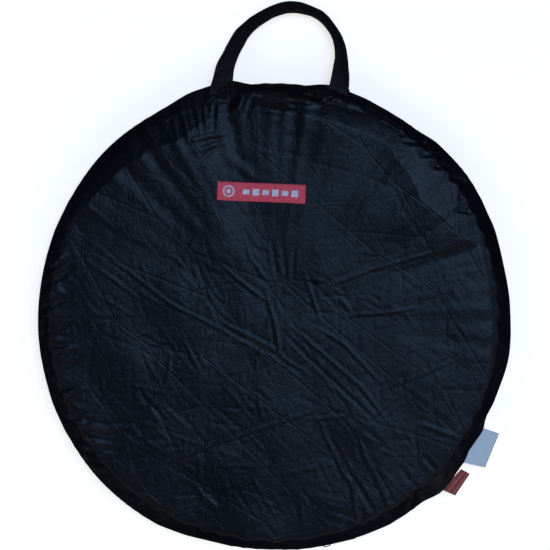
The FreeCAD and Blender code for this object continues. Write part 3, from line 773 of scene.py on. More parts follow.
def zip_teeth(name, front, body, replaces, start, sweep):
    """One side of the coil: turns of monofilament, each a small ring slanted along the tape."""
    pitch = sizes().tooth_pitch / MM
    radius, thick = COIL_OUTSIDE - 1.1, 0.34
    step = math.degrees(pitch / radius)
    count = int(sweep / step)
    sign = 1 if front else -1
    bm = bmesh.new()
    bmesh.ops.create_circle(bm, segments=6, radius=thick)
    rotated(bm, 90, "Y")
    bmesh.ops.translate(bm, vec=(0, 0, 0.76), verts=bm.verts)
    rotated(bm, 90)
    bmesh.ops.spin(bm, geom=bm.verts[:] + bm.edges[:], cent=(0, 0, 0), axis=(0, 1, 0), angle=2 * math.pi,
                   steps=6, use_merge=True, use_duplicate=False)
    for v in bm.verts:                                  # longer across the chain, and slanted
        v.co.z *= 1.55
        v.co.y += v.co.x * 0.45
    bmesh.ops.recalc_face_normals(bm, faces=bm.faces)
    bmesh.ops.translate(bm, vec=(radius, 0, MIDDLE + sign * 1.4), verts=bm.verts)
    rotated(bm, start)
    repeated_round(bm, step * count, count)
    return finished(name, bm, body, "zip_coil", replaces)


def stitch(bm, centre, along, length=2.6, radius=0.26):
    """One stitch of thread: a short rounded bar lying along a direction."""
    turn = Vector((1, 0, 0)).rotation_difference(Vector(along).normalized()).to_matrix().to_4x4()
    place = Matrix.Translation(centre) @ turn @ Matrix.Diagonal((length / 2, radius, radius, 1))
    bmesh.ops.create_icosphere(bm, subdivisions=1, radius=1.0, matrix=place)


def stitch_row(bm, line, pitch=None, length=2.6, radius=0.26):
    """Stitches one after another along a line of points in space."""
    line = np.array(line, float)
    pitch = pitch or sizes().stitch_pitch / MM
    spans = np.linalg.norm(line[1:] - line[:-1], axis=1)
    stations = np.concatenate([[0], np.cumsum(spans)])
    count = max(1, int(stations[-1] / pitch))
    for k in range(count):
        d = (k + 0.5) * stations[-1] / count
        i = min(int(np.searchsorted(stations, d)) - 1, len(spans) - 1)
        t = (d - stations[i]) / spans[i]
        stitch(bm, line[i] * (1 - t) + line[i + 1] * t, line[i + 1] - line[i], length, radius)


def box_sides(w, h):
    """The four sides of a box of half width w and half height h, each from corner to corner."""
    loop = [(-w, -h), (w, -h), (w, h), (-w, h)]
    return list(zip(loop, loop[1:] + loop[:1]))


def wall_stitches(name, front, body):
    """The row of stitches that holds a half of the side wall to its zip tape."""
    sign = 1 if front else -1
    bm = bmesh.new()
    place = Vector((WALL + 0.15, 0, MIDDLE + sign * (WALL_EDGE + 2.0 - MIDDLE)))
    stitch(bm, place, (0, 1, 0))
    rotated(bm, FOOT_AZIMUTH + FOOT_HALF + 1)
    sweep = 360 - 2 * FOOT_HALF - 2
    count = int(math.radians(sweep) * WALL / (sizes().stitch_pitch / MM))
    repeated_round(bm, sweep, count)
    return finished(name, bm, body, "thread")


# ------------------------------------------------------------------ slider and pull

def placed_on_rim(bm, azimuth, radius, z):
    """Moves a part made with x out of the rim, y along it and z up to its place."""
    bmesh.ops.translate(bm, vec=(radius, 0, z), verts=bm.verts)
    rotated(bm, azimuth)


SLIDER_AZIMUTH = -77.0


def slider():
    """The zip slider: two shaped plates joined by a diamond, flanges on their edges, and an arched crown."""
    low, high = corners("zip_slider")
    top = high[2] - low[2]
    bm = bmesh.new()
    for inner in (True, False):
        x = -2.9 if inner else 2.4
        made = bmesh.ops.create_cube(bm, size=1.0)["verts"]
        for v in made:
            v.co = Vector((v.co.x * 1.2 + x, v.co.y * 12.0, v.co.z * (top - 1.0)))
            if v.co.y > 0:
                v.co.z *= 0.62
        edges = list({e for v in made for e in v.link_edges})
        bmesh.ops.bevel(bm, geom=edges, offset=0.45, offset_type="OFFSET", segments=2, profile=0.5,
                        affect="EDGES", material=-1, clamp_overlap=True)
    for side in (-1, 1):
        made = bmesh.ops.create_cube(bm, size=1.0)["verts"]
        for v in made:
            near = 1.0 if v.co.y < 0 else 0.62
            v.co = Vector((v.co.x * 2.2 + 1.6, v.co.y * 10.5, v.co.z * 0.9 + side * near * (top / 2 - 1.0)))
    made = bmesh.ops.create_cube(bm, size=1.0)["verts"]
    for v in made:
        v.co = Vector((v.co.x * 5.0 - 0.2, v.co.y * 3.2 - 3.6, v.co.z * 2.0))
    arch = bmesh.ops.create_circle(bm, segments=10, radius=0.75)["verts"]
    rotated(bm, 90, "X", arch)
    bmesh.ops.translate(bm, vec=(3.0, -4.4, 0), verts=arch)
    edges = list({e for v in arch for e in v.link_edges})
    rotated(bm, 90, "Z", arch, (3.0, -4.4, 0))
    bmesh.ops.spin(bm, geom=arch + edges, cent=(3.0, 0, 0), axis=(0, 0, 1), angle=math.radians(180), steps=10,
                   use_duplicate=False)
    for v in bm.verts:
        if v.co.x > 3.6:
            v.co.x = 3.6 + (v.co.x - 3.6) * 0.62
    bmesh.ops.recalc_face_normals(bm, faces=bm.faces)
    placed_on_rim(bm, SLIDER_AZIMUTH, (WALL + TAPE_OUTSIDE) / 2 + 1.1, MIDDLE)
    return finished("slider_body", bm, "slider", "zip_metal", ("zip_slider",))


PULL_AXIS = 268.5                # radius of the pin line that the pull turns about
PULL_THICK = 0.96
PULL_HALF = 17.3
PULL_START = -0.6                # its end bar starts just behind the pin line


def pull_tab():
    """The zip pull: a flat oblong plate, with an eye long enough to clear the crown's leg either way round."""
    bm = bmesh.new()
    outer = bmesh.ops.create_circle(bm, segments=32, radius=1.0)["verts"]
    for v in outer:
        v.co.x = math.copysign(abs(v.co.x) ** 0.5, v.co.x) * 4.3
        v.co.y = math.copysign(abs(v.co.y) ** 0.4, v.co.y) * PULL_HALF
        v.co.x *= 0.90 + 0.10 * min(1.0, (v.co.y + PULL_HALF) / 20)
    inner = bmesh.ops.create_circle(bm, segments=32, radius=1.0)["verts"]
    for v in inner:
        v.co.x, v.co.y = v.co.x * 2.4, v.co.y * 3.3 - 12.0
    faces = bmesh.ops.bridge_loops(bm, edges=bm.edges[:])["faces"]
    raised = bmesh.ops.extrude_face_region(bm, geom=faces)["geom"]
    bmesh.ops.translate(bm, vec=(0, 0, PULL_THICK), verts=[g for g in raised if isinstance(g, bmesh.types.BMVert)])
    bmesh.ops.recalc_face_normals(bm, faces=bm.faces)
    sharp = [e for e in bm.edges if e.is_manifold and e.calc_face_angle() > 1.0]
    bmesh.ops.bevel(bm, geom=sharp, offset=0.24, segments=2, profile=0.5, affect="EDGES", material=-1)
    grip = bmesh.ops.create_cube(bm, size=1.0)["verts"]
    for v in grip:
        v.co = Vector((v.co.x * 4.6, v.co.y * 13.0 + 4.5, PULL_THICK + v.co.z * 0.5))
    bmesh.ops.bevel(bm, geom=list({e for v in grip for e in v.link_edges}), offset=0.2, segments=2, profile=0.5,
                    affect="EDGES", material=-1)
    # width up, length along the rim, thickness outwards and centred on the pin line
    bmesh.ops.rotate(bm, cent=(0, 0, 0), verts=bm.verts, matrix=Matrix(((0, 0, 1), (0, 1, 0), (-1, 0, 0))))
    bmesh.ops.translate(bm, vec=(0, PULL_START + PULL_HALF, 0), verts=bm.verts)
    placed_on_rim(bm, SLIDER_AZIMUTH, PULL_AXIS - PULL_THICK / 2, MIDDLE)
    return finished("pull_tab", bm, "pull", "zip_metal", ("zip_pull",))


# ------------------------------------------------------------------ label and tags

LABEL_SIZE = (100.0, 21.3)


def on_face(along, up, lift):
    """Places on the front cover from places along and up the label."""
    x = LABEL_CENTRE[0] + along * math.cos(LABEL_TURN) - up * math.sin(LABEL_TURN)
    y = LABEL_CENTRE[1] + along * math.sin(LABEL_TURN) + up * math.cos(LABEL_TURN)
    return np.column_stack([x, y, MIDDLE + face_height(x, y) + lift])


LABEL_BOW = 0.35


def label_bow(along):
    """How far the woven label bows sideways at a distance along it."""
    return LABEL_BOW * np.sin(along / LABEL_SIZE[0] * math.pi * 1.3)


def label():
    """The woven label, folded under along its edges and stitched to the face near the handle."""
    bm = grid(150, 36)
    points = read_points(bm)
    along = (points[:, 0] - 0.5) * LABEL_SIZE[0]
    up = (points[:, 1] - 0.5) * LABEL_SIZE[1]
    side = np.minimum(LABEL_SIZE[0] / 2 - np.abs(along), LABEL_SIZE[1] / 2 - np.abs(up))
    bow = label_bow(along)
    lift = 0.15 + 0.75 * smoothstep(side, 0, 0.8) - 0.15 * np.exp(-((side - 2.0) / 0.6) ** 2)
    write_points(bm, on_face(along, up + bow, lift + 0.05 * waves(along, up, 9, 6, 71)))
    face_up(bm)
    piece = finished("woven_label", bm, "lid", "red_label", ("brand_patch",))
    return piece


def label_mark():
    """The label's mark, woven proud of it: a ring with a dot in it, then six plain bars."""
    bm = bmesh.new()

    def oblong(centre, width, height):
        verts = bmesh.ops.create_grid(bm, x_segments=8, y_segments=6, size=0.5)["verts"]
        for v in verts:
            v.co.x, v.co.y = centre + v.co.x * width, v.co.y * height

    for number in range(6):
        oblong(-17.25 + 11.0 * number, 7.5, 7.6 if number % 2 else 5.6)
    dot = bmesh.ops.create_circle(bm, segments=28, radius=2.6, cap_ends=True, cap_tris=True)["verts"]
    bmesh.ops.translate(bm, vec=(-37, 0, 0), verts=dot)
    start = len(bm.edges)
    loops = [bmesh.ops.create_circle(bm, segments=40, radius=r)["verts"] for r in (4.9, 6.6)]
    for loop in loops:
        bmesh.ops.translate(bm, vec=(-37, 0, 0), verts=loop)
    bm.edges.ensure_lookup_table()
    bmesh.ops.bridge_loops(bm, edges=bm.edges[start:])
    points = read_points(bm)
    bow = label_bow(points[:, 0])
    write_points(bm, on_face(points[:, 0], points[:, 1] + bow, 1.02))
    face_up(bm)
    return finished("label_mark", bm, "lid", "label_print", ("patch_print",), smooth=False)


def label_stitches():
    """Stitches along the label's four edges."""
    bm = bmesh.new()
    w, h = LABEL_SIZE[0] / 2 - 1.6, LABEL_SIZE[1] / 2 - 1.6
    for (ax, ay), (bx, by) in box_sides(w, h):
        t = np.linspace(0, 1, 40)
        along, up = ax + (bx - ax) * t, ay + (by - ay) * t
        bow = label_bow(along)
        stitch_row(bm, on_face(along, up + bow, 0.92), 2.4, 1.7, 0.16)
    return finished("label_stitches", bm, "lid", "red_label")


def folded_tag(name, finish, replaces, root, tip, gap, lift):
    """A tag folded double: two leaves out from the rim seam to a soft fold at the tip.

    root and tip are each the two ends, in plan, of the sewn edge and of the fold.
    """
    bm = grid(20, 40)
    points = read_points(bm)
    u, v = points[:, 0], points[:, 1]
    out = 1 - np.abs(2 * v - 1)                          # 0 at the seam, 1 at the fold
    root, tip = np.array(root, float), np.array(tip, float)
    sewn = root[0] + (root[1] - root[0]) * u[:, None]
    end = tip[0] + (tip[1] - tip[0]) * u[:, None]
    plan = sewn + (end - sewn) * out[:, None]
    plan += 1.6 * (u * (1 - u) * np.sin(2 * math.pi * out))[:, None] * np.array([0.45, 0.9])
    side = np.where(v < 0.5, 1.0, -1.0)
    apart = gap * np.sqrt(np.clip(1 - out ** 3, 0, 1)) * side
    droop = lift - 2.2 * out ** 1.5 + 0.5 * np.sin(u * 5.1 + 0.6) * out
    write_points(bm, np.column_stack([plan, SEAM - 0.9 + droop + apart]))
    bmesh.ops.recalc_face_normals(bm, faces=bm.faces)
    piece = finished(name, bm, "lid", finish, replaces)
    return piece


# ------------------------------------------------------------------ handle

# the strap's path as it looks from the camera: place in plan, height, how far it is turned out on edge
# (degrees), and width
STRAP_PATH = [(-64, 240, 46.9, -6, 23), (-62.5, 250, 44.6, -6, 24), (-61, 259, 40.6, -4, 24),
              (-58, 270, 34.6, 2, 23), (-55.5, 284, 27, 14, 21.5), (-49.5, 298.5, 21, 26, 20),
              (-42.5, 312, 16.6, 33, 20), (-36.5, 322, 14, 36, 20), (-28.5, 330.5, 12, 42, 19.5),
              (-20, 337.5, 10.8, 44, 19.5), (-6, 345.5, 9.8, 47, 19), (7.5, 350.8, 9.3, 48, 19),
              (19, 353, 9.2, 50, 19), (30.5, 352, 9.2, 50, 17.5), (44.5, 347.5, 9.4, 52, 15),
              (55, 341.5, 9.8, 52, 15), (64, 332, 10.8, 54, 14), (71.5, 320, 12.4, 50, 14.5),
              (75.5, 308, 15.2, 40, 15.5), (77.2, 295, 19, 30, 17.5), (77.2, 284, 24, 20, 19.5),
              (76.2, 272, 31.5, 10, 21.5), (74.2, 260, 38.3, 2, 23), (72, 250, 42.3, -2, 23.5),
              (70, 243, 44, -4, 23.5)]
STEEP_TURN = 33                  # from here on the strap lies back by a fifth
LAID_BACK = 0.8


def strap_path():
    """The strap's path with each point moved out for its depth below the middle, to half a millimetre."""
    eye, (middle_x, middle_y) = CAMERA_HEIGHT / MM, (value / MM for value in FRAME_CENTRE)
    path = []
    for x, y, height, tilt, width in STRAP_PATH:
        farther = (eye - height) / (eye - MIDDLE)
        x, y = middle_x + (x - middle_x) * farther, middle_y + (y - middle_y) * farther
        tilt = round(tilt * LAID_BACK) if tilt >= STEEP_TURN else tilt
        path.append((round(2 * x) / 2, round(2 * y) / 2, height, tilt, width))
    return path


def strap():
    """The handle: nylon folded into a flat strap, sewn along both edges and turned on edge at its crown."""
    length_cells, ring_cells = ((300, 28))
    path = smooth_line(strap_path(), length_cells + 1)
    place, tilt, width = path[:, :3], np.radians(path[:, 3]), path[:, 4]
    tangent = np.gradient(place, axis=0)
    tangent /= np.linalg.norm(tangent, axis=1)[:, None]
    up = np.array([0.0, 0.0, 1.0])
    out = np.cross(up, tangent)                          # level, and away from the hand gap
    out /= np.linalg.norm(out, axis=1)[:, None]
    lifted = np.cross(tangent, out)
    across = out * np.cos(tilt)[:, None] - lifted * np.sin(tilt)[:, None]
    normal = np.cross(across, tangent)
    flip = np.where(normal[:, 2] < 0, -1.0, 1.0)
    normal *= flip[:, None]
    bm = grid(ring_cells, length_cells)
    uv_layer = bm.loops.layers.uv.active
    points = read_points(bm)
    u, v = points[:, 0], points[:, 1]
    station = np.clip(np.rint(v * length_cells).astype(int), 0, length_cells)
    angle = 2 * math.pi * u
    half = width[station] / 2
    thick = sizes().strap_thickness / MM / 2
    c, s = np.cos(angle), np.sin(angle)
    side = np.sign(c) * np.abs(c) ** 0.55
    face = np.sign(s) * np.abs(s) ** 0.4
    edge_in = half * (1 - np.abs(side))
    seam_dip = 0.3 * np.exp(-((edge_in - 2.4) / 0.9) ** 2)
    swell = 0.35 * np.exp(-(edge_in / 1.4) ** 2) + 0.22 * waves(v * 400, side * 9, 15, 7, 81, 35, 20)
    deep = np.maximum(0.4, thick - seam_dip + swell)
    run = v * 400
    bend = 0.5 * np.sin(run / 31.0) * side
    centre = place[station]
    write_points(bm, centre + across[station] * (side * half)[:, None]
                 + normal[station] * (face * deep + bend)[:, None])
    for f in bm.faces:                                   # millimetre-true map: across and along the strap
        for loop in f.loops:
            a, b = loop[uv_layer].uv
            loop[uv_layer].uv = (a * 0.05, b * 0.40)
    bmesh.ops.remove_doubles(bm, verts=bm.verts, dist=0.001)
    ends = [e for e in bm.edges if e.is_boundary]
    bmesh.ops.holes_fill(bm, edges=ends, sides=0)
    bmesh.ops.recalc_face_normals(bm, faces=bm.faces)
    piece = finished("strap", bm, None, "black_webbing", ("handle_strap",))
    seam = bmesh.new()
    for edge in (-1, 1):
        line = place + across * (edge * (width[:, None] / 2 - 2.4)) + normal * (thick + 0.12)
        stitch_row(seam, line[10:-10:3], None, 2.3, 0.22)
    rows = finished("strap_stitches", seam, None, "thread")
    for part in (piece, rows):
        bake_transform(part)
    return piece


def sewn_end(name, centre, size, turn, replaces):
    """The strap's end, spread and turned under, with a box and a cross of stitches through it."""
    bm = grid(48, 32)
    points = read_points(bm)
    along, up = (points[:, 0] - 0.5) * size[0], (points[:, 1] - 0.5) * size[1]
    side = np.minimum(size[0] / 2 - np.abs(along), size[1] / 2 - np.abs(up))
    c, s = math.cos(math.radians(turn)), math.sin(math.radians(turn))

    def laid(a, b, lift):
        x, y = centre[0] + a * c - b * s, centre[1] + a * s + b * c
        base = MIDDLE + face_height(x, y)
        return np.column_stack([x, y, base + lift])

    sewn = np.minimum(np.abs(side - 2.2), np.abs(np.abs(along / size[0]) - np.abs(up / size[1])) * size[1] * 0.7)
    lift = 0.2 + 2.3 * smoothstep(side, -0.1, 1.2) - 0.7 * np.exp(-(sewn / 1.1) ** 2) * smoothstep(side, 0, 2)
    write_points(bm, laid(along, up, lift + 0.2 * waves(along, up, 10, 6, 91)))
    face_up(bm)
    piece = finished(name, bm, "lid", "black_nylon", replaces)
    seam = bmesh.new()
    w, h = size[0] / 2 - 2.2, size[1] / 2 - 2.2
    box = box_sides(w, h) + [((-w, -h), (w, h)), ((-w, h), (w, -h))]
    for (ax, ay), (bx, by) in box:
        t = np.linspace(0, 1, 24)
        stitch_row(seam, laid(ax + (bx - ax) * t, ay + (by - ay) * t, 1.95), 2.8, 2.0, 0.2)
    rows = finished(name + "_stitches", seam, "lid", "thread")
    return piece


# ------------------------------------------------------------------ reflector

LOOPS = [(251.0, 39.3), (256.0, 25.0), (251.0, 10.7)]
CROSSING = (170.0, 230.0)               # azimuths between which the turns of the band change places


def hem_line(count):
    """The middle of the hem along its three turns: it drops a turn at each crossing, and climbs back inside."""
    turns = np.linspace(0, 3, count, endpoint=False)
    azimuth = np.mod(turns, 1) * 360
    number = turns.astype(int)
    start = CROSSING[0]
    share = smoothstep(azimuth, start, CROSSING[1])
    here = np.array(LOOPS)[number]
    after = np.array(LOOPS)[(number + 1) % 3]
    radius_z = here * (1 - share[:, None]) + after * share[:, None]
    inside = np.where(number == 2, 9.5 * np.sin(math.pi * share), 0.0)
    radius = radius_z[:, 0] - inside
    a = np.radians(azimuth)
    return np.column_stack([radius * np.cos(a), radius * np.sin(a), radius_z[:, 1]]), a


def hem():
    """The bound hem with the spring band in it, coiled three times: a flat tube of tape, creased by its turns."""
    along, ring = ((1080, 20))
    line, azimuth = hem_line(along)
    bm = grid(ring, along, uv=False)
    points = read_points(bm)
    station = np.mod(np.rint(points[:, 1] * along).astype(int), along)
    angle = 2 * math.pi * points[:, 0]
    c, s = np.cos(angle), np.sin(angle)
    ripple = 0.3 * waves(station * (4725.0 / along), s * 4, 11, 6, 101, 0, 40)
    deep = np.sign(c) * np.abs(c) ** 0.7 * 3.3 + c * ripple * 0.5
    tall = np.sign(s) * np.abs(s) ** 0.7 * 6.3
    a = azimuth[station]
    centre = line[station]
    write_points(bm, np.column_stack([centre[:, 0] + deep * np.cos(a), centre[:, 1] + deep * np.sin(a),
                                      centre[:, 2] + tall]))
    bmesh.ops.remove_doubles(bm, verts=bm.verts, dist=0.002)
    bmesh.ops.recalc_face_normals(bm, faces=bm.faces)
    return finished("hem", bm, "reflector", "binding_tape", ("rim_binding",))


def gathered_leaves(name, finish, sign, replaces):
    """One face of the reflector, lying in three leaves in each of the three loops: 1.5 m of cloth in all."""
    bm = bmesh.new()
    cells = 84
    for number, (radius, middle) in enumerate(LOOPS):
        for leaf in range(3):
            shown = leaf == 0
            made = bmesh.ops.create_grid(bm, x_segments=cells, y_segments=cells, size=0.5)["verts"]
            points = np.array([v.co for v in made], float) + (0.5, 0.5, 0)
            share, azimuth = unit_disc(points)
            r = share * (radius - 3.6)
            x, y = r * np.cos(azimuth), r * np.sin(azimuth)
            seed = 200 + 20 * number + 5 * leaf + (0 if sign > 0 else 100)
            height = middle + sign * (5.0 - 1.9 * leaf)
            rough = 0.55 * waves(x, y, 48, 8, seed) + 0.22 * waves(x, y, 17, 10, seed + 1)
            gathers = 0.35 * waves(azimuth * 180, r * 0.25, 16, 6, seed + 2, 0, 20) * smoothstep(share, 0.3, 0.95)
            if shown:
                rough = rough + random_creases(x, y, 60, seed + 3, 30, 90, 1.2)
            z = height + np.clip(rough + gathers, -0.85, 0.85 if not shown else 1.3) * (1 - 0.6 * share ** 8)
            z = middle + (z - middle) * (1 - 0.55 * smoothstep(share, 0.93, 1.0))
            for v, place in zip(made, np.column_stack([x, y, z])):
                v.co = place
    bmesh.ops.recalc_face_normals(bm, faces=bm.faces)
    turned = [f for f in bm.faces if f.normal.z * sign < 0]
    bmesh.ops.reverse_faces(bm, faces=turned)
    piece = finished(name, bm, "reflector", finish, replaces)
    return piece


def hanging_loop():
    """A loop of tape in the hem, to hang the reflector by."""
    low, high = corners("hanging_loop")
    middle, azimuth = (low + high) / 2, math.radians(62)
    bm = grid(8, 60, uv=False)
    points = read_points(bm)
    across, t = (points[:, 0] - 0.5) * 11.0, points[:, 1]
    turn = math.pi * np.clip((t - 0.4) / 0.2, 0, 1)
    run = np.where(t < 0.4, t / 0.4 * 24, np.where(t > 0.6, (1 - t) / 0.4 * 24, 24 + 1.1 * np.sin(turn)))
    lift = 1.1 * np.cos(turn)
    inward = 9.0 - run
    x = middle[0] + inward * math.cos(azimuth) - across * math.sin(azimuth)
    y = middle[1] + inward * math.sin(azimuth) + across * math.cos(azimuth)
    write_points(bm, np.column_stack([x, y, low[2] + 0.1 + lift * 0.3 + 0.1 * np.sin(run / 4)]))
    bmesh.ops.recalc_face_normals(bm, faces=bm.faces)
    bmesh.ops.solidify(bm, geom=bm.faces[:], thickness=0.5)
    return finished("hang_tape", bm, "reflector", "binding_tape", ("hanging_loop",))


# ------------------------------------------------------------------ operators

class REFLECTOR_OT_covers(bpy.types.Operator):
    """Makes the front and back covers of the case"""
    bl_idname = "reflector.covers"
    bl_label = "Covers"

    def execute(self, context):
        cover("front_cover", True, "lid", ("front_panel", "front_shoulder"))
        cover("back_cover", False, "case_base", ("back_panel", "back_shoulder"))
        return {"FINISHED"}


class REFLECTOR_OT_side_wall(bpy.types.Operator):
    """Makes both halves of the side wall, the cloth at the folding foot and the seam bindings"""
    bl_idname = "reflector.side_wall"
    bl_label = "Side wall"

    def execute(self, context):
        wall("front_wall", True, "lid", ("front_gusset",))
        wall("back_wall", False, "case_base", ("back_gusset",))
        foot_cloth()
        seam_binding("front_binding", True, "lid", ("front_seam_binding",))
        seam_binding("back_binding", False, "case_base", ("back_seam_binding",))
        return {"FINISHED"}


class REFLECTOR_OT_zip(bpy.types.Operator):
    """Makes the coils and the stitching of the zip, and finishes its tapes and stops"""
    bl_idname = "reflector.zip"
    bl_label = "Zip"

    def execute(self, context):
        start = FOOT_AZIMUTH + FOOT_HALF
        step = math.degrees(sizes().tooth_pitch / MM / (COIL_OUTSIDE - 1.1))
        skipped = math.ceil((LID_CHAIN_START - FOOT_HALF) / step) + 0.5
        zip_teeth("back_coil", False, "case_base", ("back_zip_coil",), start, 360 - 2 * FOOT_HALF)
        zip_teeth("front_coil", True, "lid", ("front_zip_coil",), start + skipped * step,
                  360 - 2 * FOOT_HALF - 2 * skipped * step)
        wall_stitches("front_wall_stitches", True, "lid")
        wall_stitches("back_wall_stitches", False, "case_base")
        for name, finish in (("front_zip_tape", "zip_tape"), ("back_zip_tape", "zip_tape"),
                             ("zip_stops", "zip_metal")):
            finish_cad(name, finish)
        return {"FINISHED"}


class REFLECTOR_OT_slider(bpy.types.Operator):
    """Makes the zip slider and its pull"""
    bl_idname = "reflector.slider"
    bl_label = "Slider and pull"

    def execute(self, context):
        slider()
        pull_tab()
        return {"FINISHED"}


class REFLECTOR_OT_labels(bpy.types.Operator):
    """Makes the woven label with its mark, and the two tags in the rim seam"""
    bl_idname = "reflector.labels"
    bl_label = "Label and tags"

    def execute(self, context):
        label()
        label_mark()
        label_stitches()
        folded_tag("grey_tag", "grey_tag", ("size_tag",), ((235.5, -126.5), (215.5, -167)),
                   ((257, -134), (241, -173)), 0.5, 0.2)
        folded_tag("red_tag", "red_tag", ("maker_tag",), ((213.5, -174.5), (191.5, -198)),
                   ((223.5, -180), (207, -205)), 0.5, -0.1)
        return {"FINISHED"}


class REFLECTOR_OT_handle(bpy.types.Operator):
    """Makes the handle strap and its two sewn ends"""
    bl_idname = "reflector.handle"
    bl_label = "Handle"

    def execute(self, context):
        strap()
        sewn_end("left_end", (-63.5, 250.5), (30.0, 21.0), 3.0, ("handle_anchor_left",))
        sewn_end("right_end", (69.5, 249.5), (31.0, 22.0), -10.0, ("handle_anchor_right",))
        return {"FINISHED"}


class REFLECTOR_OT_folded_reflector(bpy.types.Operator):
    """Makes the folded reflector: hem, silver and white faces, and hanging loop"""
    bl_idname = "reflector.folded_reflector"
    bl_label = "Folded reflector"

    def execute(self, context):
        hem()
        gathered_leaves("silver_leaves", "silver_cloth", 1, ("silver_face",))
        gathered_leaves("white_leaves", "white_cloth", -1, ("white_face",))
        hanging_loop()
        for name, finish in (("spring_band", "steel"), ("band_ferrule", "steel"), ("ferrule_rivets", "steel")):
            finish_cad(name, finish)
        return {"FINISHED"}


def finish_cad(name, finish):
    """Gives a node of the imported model, kept as it is, a finish of its own."""
    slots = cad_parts[name].data.materials
    slots.clear()
    slots.append(material_for(finish))


class REFLECTOR_OT_stage(bpy.types.Operator):
    """Makes the pale floor, the soft lights and the camera straight above"""
    bl_idname = "reflector.stage"
    bl_label = "Stage"

    def execute(self, context):
        make_floor()
        make_lights()
        make_camera()
        return {"FINISHED"}


def make_floor():
    """A pale light table of frosted acrylic, lit a little from below so that the shadows stay soft."""
    material, tree, surface, place = shader("frosted_acrylic", Roughness=0.9, Specular_IOR_Level=0.1,
                                            Emission_Color=(1.0, 0.985, 0.955, 1), Emission_Strength=0.68)
    tooth = node(tree, "TexNoise", {"Vector": place, "Scale": 300.0, "Detail": 3.0})
    base = tuple(colours().floor)
    two_shades(tree, surface, tooth, 0.3, 0.7, base, [v * 0.985 for v in base[:3]] + [1.0])
    bm = bmesh.new()
    bmesh.ops.create_grid(bm, x_segments=8, y_segments=8, size=12.0)
    mesh = bpy.data.meshes.new("floor")
    bm.to_mesh(mesh)
    bm.free()
    mesh.materials.append(material)
    floor = bpy.data.objects.new("floor", mesh)
    bpy.context.scene.collection.objects.link(floor)
    floor.visible_glossy = False                         # the rim of the case does not mirror the table


# name, azimuth, elevation, width and depth (m), power (W); each stands LIGHT_DISTANCE away
LIGHTS = [("handle", 94, 30, 2.6, 1.8, 4), ("left", 205, 44, 3.0, 2.0, 13), ("foot", 268, 42, 3.0, 2.0, 12),
          ("lower_right", 322, 43, 3.0, 2.0, 13)]
LIGHT_DISTANCE = 3.2
LIGHT_TARGET = Vector((0.0, 0.03, 0.0))
CEILING_AZIMUTH = 42.0           # the pale cool patch of ceiling that the cloth reflects
CEILING_OFF_ZENITH = 16.0
CEILING_REACH = 19.0
CEILING_STRENGTH = 7.4


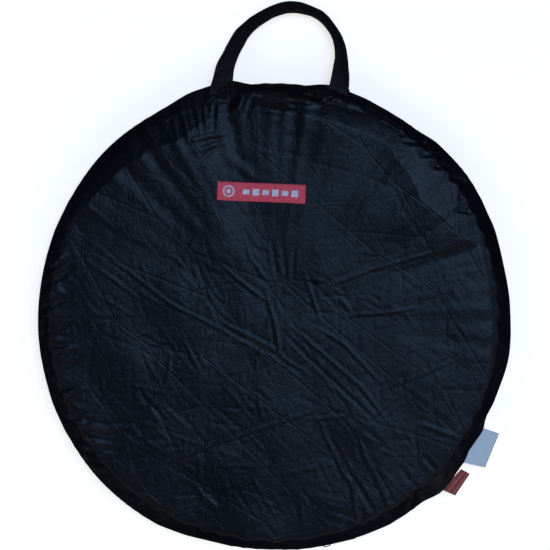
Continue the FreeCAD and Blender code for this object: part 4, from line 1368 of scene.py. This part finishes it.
def make_lights():
    """Soft boxes round the table, and a dim cool ceiling for the low sheen of the cloth."""
    for name, azimuth, elevation, width, depth, power in LIGHTS:
        data = bpy.data.lights.new(name, "AREA")
        data.shape, data.size, data.size_y = "RECTANGLE", width, depth
        data.energy = power
        a, e = math.radians(azimuth), math.radians(elevation)
        toward = Vector((math.cos(e) * math.cos(a), math.cos(e) * math.sin(a), math.sin(e)))
        place = LIGHT_TARGET + LIGHT_DISTANCE * toward
        light = bpy.data.objects.new(name, data)
        light.location = place
        light.rotation_euler = (LIGHT_TARGET - place).to_track_quat("-Z", "Y").to_euler()
        bpy.context.scene.collection.objects.link(light)
    world = bpy.data.worlds.new("studio")
    bpy.context.scene.world = world
    world.use_nodes = True
    tree = world.node_tree
    background = next(n for n in tree.nodes if n.type == "BACKGROUND")
    z, a = math.radians(CEILING_OFF_ZENITH), math.radians(CEILING_AZIMUTH)
    toward = (math.sin(z) * math.cos(a), math.sin(z) * math.sin(a), math.cos(z))
    near = node(tree, "VectorMath", {0: node(tree, "TexCoord"), 1: toward}, "Value", operation="DOT_PRODUCT")
    share = node(tree, "MapRange", {"Value": near, "From Min": math.cos(math.radians(CEILING_REACH))},
                 interpolation_type="SMOOTHSTEP")
    tree.links.new(node(tree, "Mix", {0: share, 6: linear("#050505"), 7: linear("#9cc4f4")}, 2, data_type="RGBA"),
                   background.inputs["Color"])
    background.inputs["Strength"].default_value = CEILING_STRENGTH


CAMERA_HEIGHT = 2.4
FRAME_WIDTH = 0.629
FRAME_CENTRE = (0.0014, 0.0466)


def make_camera():
    """Straight above the case, with the handle at the top of the frame."""
    data = bpy.data.cameras.new("camera")
    data.sensor_width = 36.0
    data.lens = data.sensor_width * (CAMERA_HEIGHT - DEPTH * MM / 2) / FRAME_WIDTH
    camera = bpy.data.objects.new("camera", data)
    camera.location = (*FRAME_CENTRE, CAMERA_HEIGHT)
    bpy.context.scene.collection.objects.link(camera)
    bpy.context.scene.camera = camera
    bpy.context.scene.view_settings.view_transform = "Standard"


PIECES = (REFLECTOR_OT_covers, REFLECTOR_OT_side_wall, REFLECTOR_OT_zip, REFLECTOR_OT_slider, REFLECTOR_OT_labels,
          REFLECTOR_OT_handle, REFLECTOR_OT_folded_reflector, REFLECTOR_OT_stage)


class REFLECTOR_PT_panel(bpy.types.Panel):
    """Lists the pieces and their sizes and colours"""
    bl_idname = "REFLECTOR_PT_panel"
    bl_label = "Reflector in its case"
    bl_space_type = "VIEW_3D"
    bl_region_type = "UI"
    bl_category = "Reflector"

    def draw(self, context):
        layout = self.layout
        for settings in (context.scene.reflector_sizes, context.scene.reflector_colours):
            for name in settings.__annotations__:
                layout.prop(settings, name)
        for piece in PIECES:
            layout.operator(piece.bl_idname)


CLASSES = (ReflectorClothSettings, ReflectorColourSettings, *PIECES, REFLECTOR_PT_panel)


def register():
    for kind in CLASSES:
        bpy.utils.register_class(kind)
    bpy.types.Scene.reflector_sizes = PointerProperty(type=ReflectorClothSettings)
    bpy.types.Scene.reflector_colours = PointerProperty(type=ReflectorColourSettings)


def unregister():
    del bpy.types.Scene.reflector_colours
    del bpy.types.Scene.reflector_sizes
    for kind in reversed(CLASSES):
        bpy.utils.unregister_class(kind)


def main():
    register()
    for piece in PIECES:
        group, name = piece.bl_idname.split(".")
        getattr(getattr(bpy.ops, group), name)()


if __name__ == "__main__":
    main()
